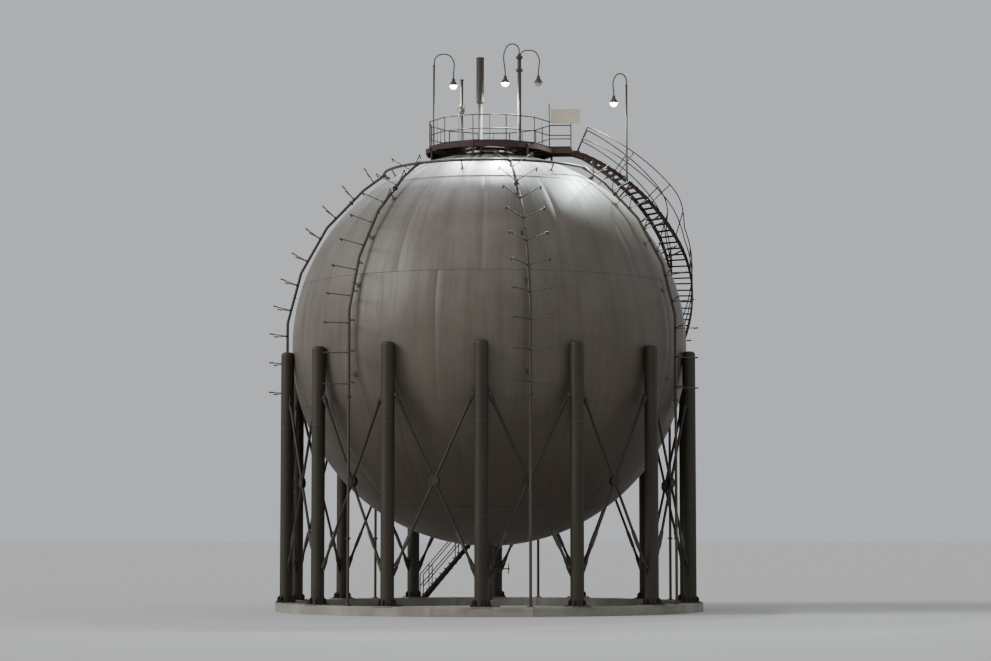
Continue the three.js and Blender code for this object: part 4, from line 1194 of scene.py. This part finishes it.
def channel(points, side):
    """A rolled channel along a path, its flanges turned away from the treads on that side."""
    half, web, flange = CHANNEL_DEPTH / 2, CHANNEL_WEB, STRINGER_WIDTH
    outline = [(0, -half), (flange, -half), (flange, web - half), (web, web - half), (web, half - web),
               (flange, half - web), (flange, half), (0, half)]
    section = drawn_curve([(-side * (x - flange / 2), y, 0) for x, y in outline], closed=True)
    section.data.dimensions = "2D"
    beam = drawn_curve(points)
    beam.data.twist_mode = "Z_UP"
    beam.data.bevel_mode = "OBJECT"
    beam.data.bevel_object = section
    beam.data.use_fill_caps = True
    beam = as_mesh(beam)
    discard(section)
    return coated(closed_up(beam), stair_paint)


def shell_under(place):
    """Where the shell's face lies under a place, and the way straight out from it."""
    outwards = (place - CENTRE).normalized()
    return CENTRE + SHELL_RADIUS * outwards, outwards


def beside(step, side, height=-STRINGER_DROP):
    place, _, across, _ = step
    return place + side * WALK_WIDTH / 2 * across + height * UP


def stair_rail(steps, side):
    """One side's handrail: posts on the stringer every sixth step, a top rail and a middle rail."""
    stops = steps[::POST_EVERY]
    if len(steps) % POST_EVERY != 1:
        stops.append(steps[-1])
    parts = []
    for step in stops:
        foot, lean = beside(step, side), step[3]
        parts += rods_on(foot, lean, (0, RAIL_HEIGHT, RAIL_RADIUS, 12), (0.02, 0.05, RAIL_RADIUS + 0.012, 12))
    for height in (RAIL_HEIGHT, RAIL_HEIGHT * 0.55):
        parts.append(tube([beside(step, side) + height * step[3] for step in steps], RAIL_RADIUS))
    return all_coated(parts, stair_paint)


STAIR_SAMPLES = stair_path()
LANDING_MIDDLE = 9.15
landing_start = radians(STAIR_SAMPLES[-1][0] + 0.3)
upper_steps = steps_along(STAIR_SAMPLES)
tread_pattern = make_tread()
stair_parts = [copied(tread_pattern, laid(place, heading)) for place, heading, _, _ in upper_steps]
foot_reach = STAIR_SAMPLES[-1][2].xy.length
for side in (-1, 1):
    head = Vector((DECK_REACH, side * WALK_WIDTH / 2, DECK_TOP - 2 * STRINGER_DROP))
    foot = polar(foot_reach - side * WALK_WIDTH / 2, landing_start, EQUATOR - STRINGER_DROP)
    stair_parts.append(channel([head, *[beside(step, side) for step in upper_steps[1:-1]], foot], side))
    stair_parts += stair_rail(upper_steps, side)
    for index in PROP_STEPS:
        top = beside(upper_steps[index], side, -2 * STRINGER_DROP)
        seat, outwards = shell_under(top)
        stair_parts += all_coated([
            rod(top, seat, PROP_RADIUS, 12), rod(seat, seat + 0.014 * outwards, 0.11, 20)], stair_paint)
finish_piece(stair_parts, "upper_stair", "treads")

# Stair lamp
# A slim post on a bracket that is bolted to the outside of the near stringer, held by two clamps. It
# lights the stair and the shell below it.
LAMP_STEP = 7
LAMP_FACE = 0.45
LAMP_BRACKET = 0.3
STAIR_LAMP_POWER = 4500

lit_place, lit_heading, lit_across, _ = upper_steps[LAMP_STEP]
bracket_root = lit_place - LAMP_FACE * lit_across - STRINGER_DROP * UP
lamp_foot = bracket_root - LAMP_BRACKET * lit_across
bracket_parts = rods_on(lamp_foot, UP, (-0.042, -0.018, 0.056, 20), (0.018, 0.042, 0.056, 20))
for size, out, drop in (
        ((0.12, 0.02, 0.24), 0.01, 0), ((0.07, LAMP_BRACKET, 0.07), LAMP_BRACKET / 2, 0),
        ((0.012, 0.2, 0.03), 0.1, 0.05)):
    bracket_parts.append(slab(size, bracket_root - out * lit_across - drop * UP, lit_heading))
stair_lamp_parts = all_coated(bracket_parts, lamp_paint)
for along, rise in product((-0.042, 0.042), (-0.09, 0.09)):
    bolt = bracket_root + along * lit_heading + rise * UP
    stair_lamp_parts += all_coated(rods_on(bolt, -lit_across, (0, 0.034, 0.013, 6)), bolt_steel)
stair_lamp_parts += lamp_post(
    lamp_foot - 0.12 * UP, EQUATOR + 11.3, -0.52, EQUATOR + 10.1, STAIR_LAMP_POWER)
finish_piece(stair_lamp_parts, "stair_lamp", "post")
discard(lamp_head)

# Landings
# Each sits on a bracket that is clamped to a column. A grating floor in a bent channel frame rests
# on two cantilevers with knee braces, and a rail guards its outer edge.
FLIGHTS = 3
FLIGHT_RISE = EQUATOR / FLIGHTS
STAIR_COLUMN = 5
LANDING_INNER = 8.56
LANDING_OUTER = 9.74
LANDING_HALF = radians(3.2)
KNEE_DROP = 1.1
BAND_DROP = 0.5
FRAME_DEPTH = 0.12
GRATING_HALF = 1.1
BAR_PITCH = 0.036
CROSS_PITCH = 0.1
COLUMN_FACE = COLUMN_CIRCLE + COLUMN_RADIUS - 0.005
landing_end = column_azimuth(STAIR_COLUMN) + LANDING_HALF


def flight_start(index):
    return landing_end + PETAL_ANGLE * index


def flight_end(index):
    return flight_start(index + 1) - 2 * LANDING_HALF


def grating(outline, middle, half, top, along):
    """Bearing bars and cross rods over a square field, trimmed to a solid outline."""
    bars = slab((2 * half, 0.005, BAR_DEPTH), (0, -half, top - BAR_DEPTH / 2), softened=0)
    rods = slab((0.007, 2 * half, 0.007), (-half, 0, top - 0.005), softened=0)
    parts = [repeated(bars, int(2 * half / BAR_PITCH) + 1, (0, BAR_PITCH, 0)),
             repeated(rods, int(2 * half / CROSS_PITCH) + 1, (CROSS_PITCH, 0, 0))]
    for part in parts:
        part.rotation_euler.z = along
        part.location = middle
        only(part)
        settle()
        cut_to(part, outline)
    return parts


def landing_outline(start, end, height):
    """A closed line round a landing's floor."""
    turns = [start + (end - start) * i / 6 for i in range(7)]
    return [polar(LANDING_OUTER, turn, height) for turn in turns] + [
        polar(LANDING_INNER, turn, height) for turn in reversed(turns)]


def drawn_down(points, depth, closed=True, filled=False):
    """A line through the points drawn out downwards, as a standing sheet or as a solid block."""
    piece = as_mesh(drawn_curve(points, closed))
    edit_all()
    if filled:
        bpy.ops.mesh.edge_face_add()
    bpy.ops.mesh.extrude_region_move(TRANSFORM_OT_translate={"value": (0, 0, -depth)})
    turn_outwards()
    return piece


def upright_band(points, depth, thickness, closed=True):
    """Flat plate that stands on edge along a line."""
    band = drawn_down(points, depth, closed)
    apply_modifier("SOLIDIFY", thickness=thickness, offset=-1)
    return band


for index in range(FLIGHTS):
    azimuth = column_azimuth(STAIR_COLUMN + index)
    start = flight_end(index - 1) if index else landing_start
    end = flight_start(index)
    height = EQUATOR - FLIGHT_RISE * index
    outline = drawn_down(landing_outline(start, end, height + 0.1), 0.4, filled=True)
    middle = polar((LANDING_INNER + LANDING_OUTER) / 2, (start + end) / 2)
    landing_parts = grating(outline, middle, GRATING_HALF, height, azimuth)
    discard(outline)
    landing_parts.append(upright_band(landing_outline(start, end, height), FRAME_DEPTH, STEEL))
    for shift in (-0.07, 0.07):
        for far, near_drop, far_drop, depth in ((0.04, 0.1, 0.1, 0.11), (0.15, KNEE_DROP, 0.11, 0.08)):
            near_end = polar(COLUMN_FACE, azimuth, height - near_drop) + shift * sideways(azimuth)
            far_end = polar(LANDING_OUTER - far, azimuth, height - far_drop) + shift * sideways(azimuth)
            landing_parts.append(slab(
                ((far_end - near_end).length, 0.045, depth), (near_end + far_end) / 2, far_end - near_end))
    plate = polar(COLUMN_FACE + 0.01, azimuth, height - KNEE_DROP / 2 - 0.05)
    landing_parts.append(slab((0.02, 0.22, KNEE_DROP + 0.1), plate, polar(1, azimuth)))
    for drop in (BAND_DROP, KNEE_DROP):
        band = polar(COLUMN_CIRCLE, azimuth, height - drop)
        landing_parts += rods_on(band, UP, (-0.04, 0.04, COLUMN_RADIUS + 0.012, 40))
    turns = (start + radians(0.4), (start + end) / 2, end - radians(0.4))
    rim = [polar(LANDING_OUTER - 0.05, turn, height) for turn in turns]
    toe = [foot + TOE_HEIGHT * UP for foot in rim]
    landing_parts.append(upright_band(toe, TOE_HEIGHT, TOE_PLATE, closed=False))
    for foot in rim:
        landing_parts += rods_on(foot, UP, (-0.06, RAIL_HEIGHT - 0.03, RAIL_RADIUS, 12))
    for rise in (RAIL_HEIGHT - 0.03, RAIL_HEIGHT / 2):
        landing_parts.append(tube([foot + rise * UP for foot in rim], RAIL_RADIUS))
    finish_piece(all_coated(landing_parts, stair_paint), f"landing_{index + 1}", "grating")

# Lower flights
# Three straight flights step round the columns from landing to landing, the last one down to foot
# plates on the ground.
for index in range(FLIGHTS):
    is_last = index == FLIGHTS - 1
    top = polar(LANDING_MIDDLE, flight_start(index), EQUATOR - FLIGHT_RISE * index)
    bottom = polar(LANDING_MIDDLE, flight_end(index), top.z - FLIGHT_RISE)
    if is_last:
        bottom = top.lerp(bottom, 1 - (0.1 + STRINGER_DROP) / FLIGHT_RISE)
    heading = (bottom - top).xy.to_3d().normalized()
    across = UP.cross(heading)
    count = round((bottom - top).length / TREAD_PITCH)
    steps = [(top.lerp(bottom, (k + 0.5) / count), heading, across, UP) for k in range(count)]
    flight_parts = [copied(tread_pattern, laid(step[0], heading)) for step in steps]
    for side in (-1, 1):
        reach = LANDING_MIDDLE - side * WALK_WIDTH / 2
        head = polar(reach, flight_start(index), top.z - STRINGER_DROP)
        foot = polar(reach, flight_end(index), bottom.z - STRINGER_DROP)
        if is_last:
            ground = (bottom + side * WALK_WIDTH / 2 * across).xy.to_3d()
            foot = ground + 0.085 * UP
            flight_parts += all_coated([
                slab((0.24, 0.13, 0.014), ground - 0.09 * heading + 0.007 * UP, heading),
                slab((0.1, 0.012, 0.12), ground - 0.05 * heading + 0.065 * UP, heading)], stair_paint)
        flight_parts.append(channel([head, foot], side))
        flight_parts += stair_rail(steps, side)
    finish_piece(flight_parts, f"lower_flight_{index + 1}", "treads")
discard(tread_pattern)

# Drench pipework
# Seven risers climb from the footing and follow the shell in straight lengths to a ring round the
# crown. Clips hold them off the plate, and each carries pairs of splayed spray arms with nozzles.
RISERS = PETALS // 2
PIPE_RADIUS = 0.057
RISER_CIRCLE = SHELL_RADIUS + 0.25
RISER_LENGTHS = 4
SPRAY_PITCH = 1.2
SPRAY_REACH = 1.0
SPRAY_SPLAY = radians(50)
SPRAY_RADIUS = 0.024
CLIP_DROP = 1.5
HEADER_CIRCLE = 4.3
HEADER_HEIGHT = EQUATOR + 7.15
BEND_RADIUS = 0.6
COUPLING_HEIGHTS = (2.9, 8.3)
LENGTH_SPAN = atan2(HEADER_HEIGHT - EQUATOR, HEADER_CIRCLE) / RISER_LENGTHS
HEADROOM = 2.4
FOOTROOM = 0.6


def riser_azimuth(index):
    return -pi + tau * index / RISERS


def over_shell(lat, reach=RISER_CIRCLE):
    """A place in the plane of +X at a latitude in radians."""
    return CENTRE + Vector((reach * cos(lat), 0, reach * sin(lat)))


def meets_stair(place):
    """Whether a spray arm's end would be in the way of someone on the stair."""
    azimuth = atan2(place.y, place.x)
    if azimuth < 0 or azimuth > flight_start(FLIGHTS):
        return False
    ahead = [place.z for turn, _, place in STAIR_SAMPLES if radians(turn) >= azimuth]
    share = (azimuth - landing_end) / (flight_start(FLIGHTS) - landing_end)
    walk = ahead[0] if ahead else EQUATOR * (1 - share)
    return walk - FOOTROOM < place.z < walk + HEADROOM


def make_spray_arm(side):
    """An arm splayed from +X to a side, with its boss, elbow and a nozzle towards the shell."""
    way = polar(1, side * SPRAY_SPLAY)
    tip = SPRAY_REACH - 0.03
    thin = SPRAY_RADIUS * 0.8
    return pattern_of(all_coated(rods_on(
        ORIGIN, way, (0.03, tip, thin, 10), (0.045, 0.12, SPRAY_RADIUS * 1.45, 12),
        (tip - 0.05, tip + 0.02, SPRAY_RADIUS * 1.35, 12)) + rods_on(
        tip * way, RIGHT, (0.02, -0.07, thin, 12), (-0.06, -0.13, thin, 12, SPRAY_RADIUS * 1.8)), pipe_paint))


def make_coupling():
    """A pair of bolted flanges about the origin on the Z axis."""
    flanges = rods_on(ORIGIN, UP, (-0.027, -0.003, 0.105, 24), (0.003, 0.027, 0.105, 24))
    return pattern_of([*all_coated(flanges, pipe_paint), bolt_ring(0.083, 8, -0.027, 0.027, 0.013)])


def make_clip(place):
    """A bracket that stands on the shell and holds the riser with a U-bolt, in the riser's plane."""
    seat, outwards = shell_under(place)
    upright = BACK.cross(outwards).normalized()
    strut = slab(((place - seat).length, 0.06, 0.012), (place + seat) / 2, seat - place, upright)
    pad = slab((0.012, 0.2, 0.2), seat + outwards * 0.004, -outwards, upright)
    u_bolt = coated(hoop(PIPE_RADIUS + 0.008, 0.009, 24, 8), bolt_steel)
    u_bolt.matrix_world = laid(place, -outwards, upright)
    return [*all_coated([strut, pad], pipe_paint), u_bolt]


def make_riser():
    """A riser in the plane of +X, without its spray arms."""
    reach = RISER_CIRCLE / cos(LENGTH_SPAN / 2)
    bends = [over_shell((k + 0.5) * LENGTH_SPAN, reach) for k in range(RISER_LENGTHS)]
    mouth = Vector((HEADER_CIRCLE, 0, HEADER_HEIGHT))
    pipe = tube(rounded([(RISER_CIRCLE, 0, RING_TOP + 0.01), *bends, mouth], BEND_RADIUS), PIPE_RADIUS, 20)
    sleeves = rods_on(mouth, (bends[-1] - mouth).normalized(), (-0.02, 0.16, PIPE_RADIUS * 1.3, 20))
    foot = turned_piece(above(
        RING_TOP, (0, 0), (0.145, 0), (0.145, 0.025), (0.08, 0.027), (PIPE_RADIUS, 0.07), (0, 0.07)), 24)
    anchor = pattern_of([
        coated(foot, pipe_paint), bolt_ring(0.115, 4, RING_TOP, RING_TOP + 0.025, 0.014)])
    parts = [*all_coated([pipe, *sleeves], pipe_paint), moved(anchor, RISER_CIRCLE)]
    for height in COUPLING_HEIGHTS:
        parts.append(copied(coupling, Matrix.Translation((RISER_CIRCLE, 0, height))))
    last = over_shell((RISER_LENGTHS - 1) * LENGTH_SPAN)
    along = (bends[-1] - last).normalized()
    parts.append(copied(coupling, laid(last + along * 0.35, BACK, along)))
    parts += make_clip(Vector((RISER_CIRCLE, 0, EQUATOR - CLIP_DROP)))
    for k in range(1, RISER_LENGTHS):
        parts += make_clip(over_shell(k * LENGTH_SPAN))
    return pattern_of(parts)


spray_arms = {side: make_spray_arm(side) for side in (-1, 1)}
coupling = make_coupling()
riser_pattern = make_riser()
arm_places = [laid((RISER_CIRCLE, 0, EQUATOR + step * SPRAY_PITCH)) for step in (-1.5, -0.5)]
for quarter in range(2 * RISER_LENGTHS):
    root = over_shell((quarter / 2 + 0.25) * LENGTH_SPAN, RISER_CIRCLE + PIPE_RADIUS / 4)
    arm_places.append(laid(root, root - CENTRE))
for index in range(RISERS):
    turned = Matrix.Rotation(riser_azimuth(index), 4, "Z")
    riser_parts = [copied(riser_pattern, turned)]
    for place in arm_places:
        stand = turned @ place
        for side, arm in spray_arms.items():
            tip = stand @ (SPRAY_REACH * polar(1, side * SPRAY_SPLAY))
            if not meets_stair(stand.translation) and not meets_stair(tip):
                riser_parts.append(copied(arm, stand))
    finish_piece(riser_parts, f"drench_riser_{index + 1}", "pipe")
discard(*spray_arms.values(), coupling, riser_pattern)

header_parts = [hoop(HEADER_CIRCLE, PIPE_RADIUS, 168, 16, location=(0, 0, HEADER_HEIGHT))]
for index in range(RISERS):
    azimuth = leg_azimuth(index)
    top = polar(HEADER_CIRCLE, azimuth, HEADER_HEIGHT)
    seat, outwards = shell_under(top)
    tee = polar(HEADER_CIRCLE, riser_azimuth(index), HEADER_HEIGHT)
    along = 0.11 * sideways(riser_azimuth(index))
    header_parts += [rod(seat, top, PROP_RADIUS, 12), shell_pad(seat, azimuth, outwards, 0.1),
                     rod(tee - along, tee + along, PIPE_RADIUS * 1.28, 20)]
finish_piece(all_coated(header_parts, pipe_paint), "drench_header", "ring")

# Bottom outlet
# The product line leaves the bottom of the shell through a gate valve, with a flanged branch to the
# near side, and ends in a concrete plinth.
OUTLET = 0.13
OUTLET_BOTTOM = EQUATOR - SHELL_RADIUS
GATE = 1.68
COUPLING = 2.28
BRANCH_HEIGHT = 1.15
BRANCH_REACH = 0.75
BRANCH_RADIUS = 0.11

plinth = coated(turned_piece([(0, 0), (0.45, 0), (0.45, 0.39), (0.42, 0.42), (0, 0.42)], 40), concrete)
line = turned_piece([(0, 0.4), (0.2, 0.4), (0.2, 0.43), (OUTLET, 0.44)] + above(
    GATE, (OUTLET, -0.22), (0.215, -0.22), (0.215, -0.18), (0.16, -0.17), (0.235, -0.08), (0.25, 0),
    (0.235, 0.08), (0.16, 0.17), (0.215, 0.18), (0.215, 0.22), (OUTLET, 0.22)) + above(
    COUPLING, (OUTLET, -0.03), (0.225, -0.03), (0.225, -0.003), (0.18, -0.002), (0.18, 0.002),
    (0.225, 0.003), (0.225, 0.03), (OUTLET, 0.04)) + above(OUTLET_BOTTOM, (OUTLET, 0.05), (0, 0.05)), 40)
outlet_parts = [line, *rods_on(OUTLET_BOTTOM * UP, UP, (-0.006, 0.03, 0.3, 40)), *rods_on(
    BRANCH_HEIGHT * UP, -BACK, (0, BRANCH_REACH - 0.06, BRANCH_RADIUS, 32))]
bonnet, yoke = rods_on(GATE * UP, RIGHT, (0.2, 0.52, 0.13, 28, 0.08), (0.5, 0.82, 0.024, 12))
branch_flange = all_coated(rods_on(ORIGIN, UP, (0, 0.05, 0.195, 32)), pipe_paint)
branch_end = pattern_of([*branch_flange, bolt_ring(0.155, 8, 0.0, 0.035, 0.016, pi / 8)])
branch_end.matrix_world = laid((0, 0.05 - BRANCH_REACH, BRANCH_HEIGHT), RIGHT, -BACK)
wheel = handwheel((0.78, 0, GATE), RIGHT, 0.2, pipe_paint)
outlet_parts = all_coated([*outlet_parts, bonnet], pipe_paint) + [plinth, coated(yoke, bolt_steel)]
for radius, middle, half in ((0.19, COUPLING, 0.03), (0.185, GATE - 0.2, 0.02), (0.185, GATE + 0.2, 0.02)):
    outlet_parts.append(bolt_ring(radius, 12, middle - half, middle + half, 0.017))
finish_piece([*outlet_parts, branch_end, wheel], "bottom_outlet", "line")
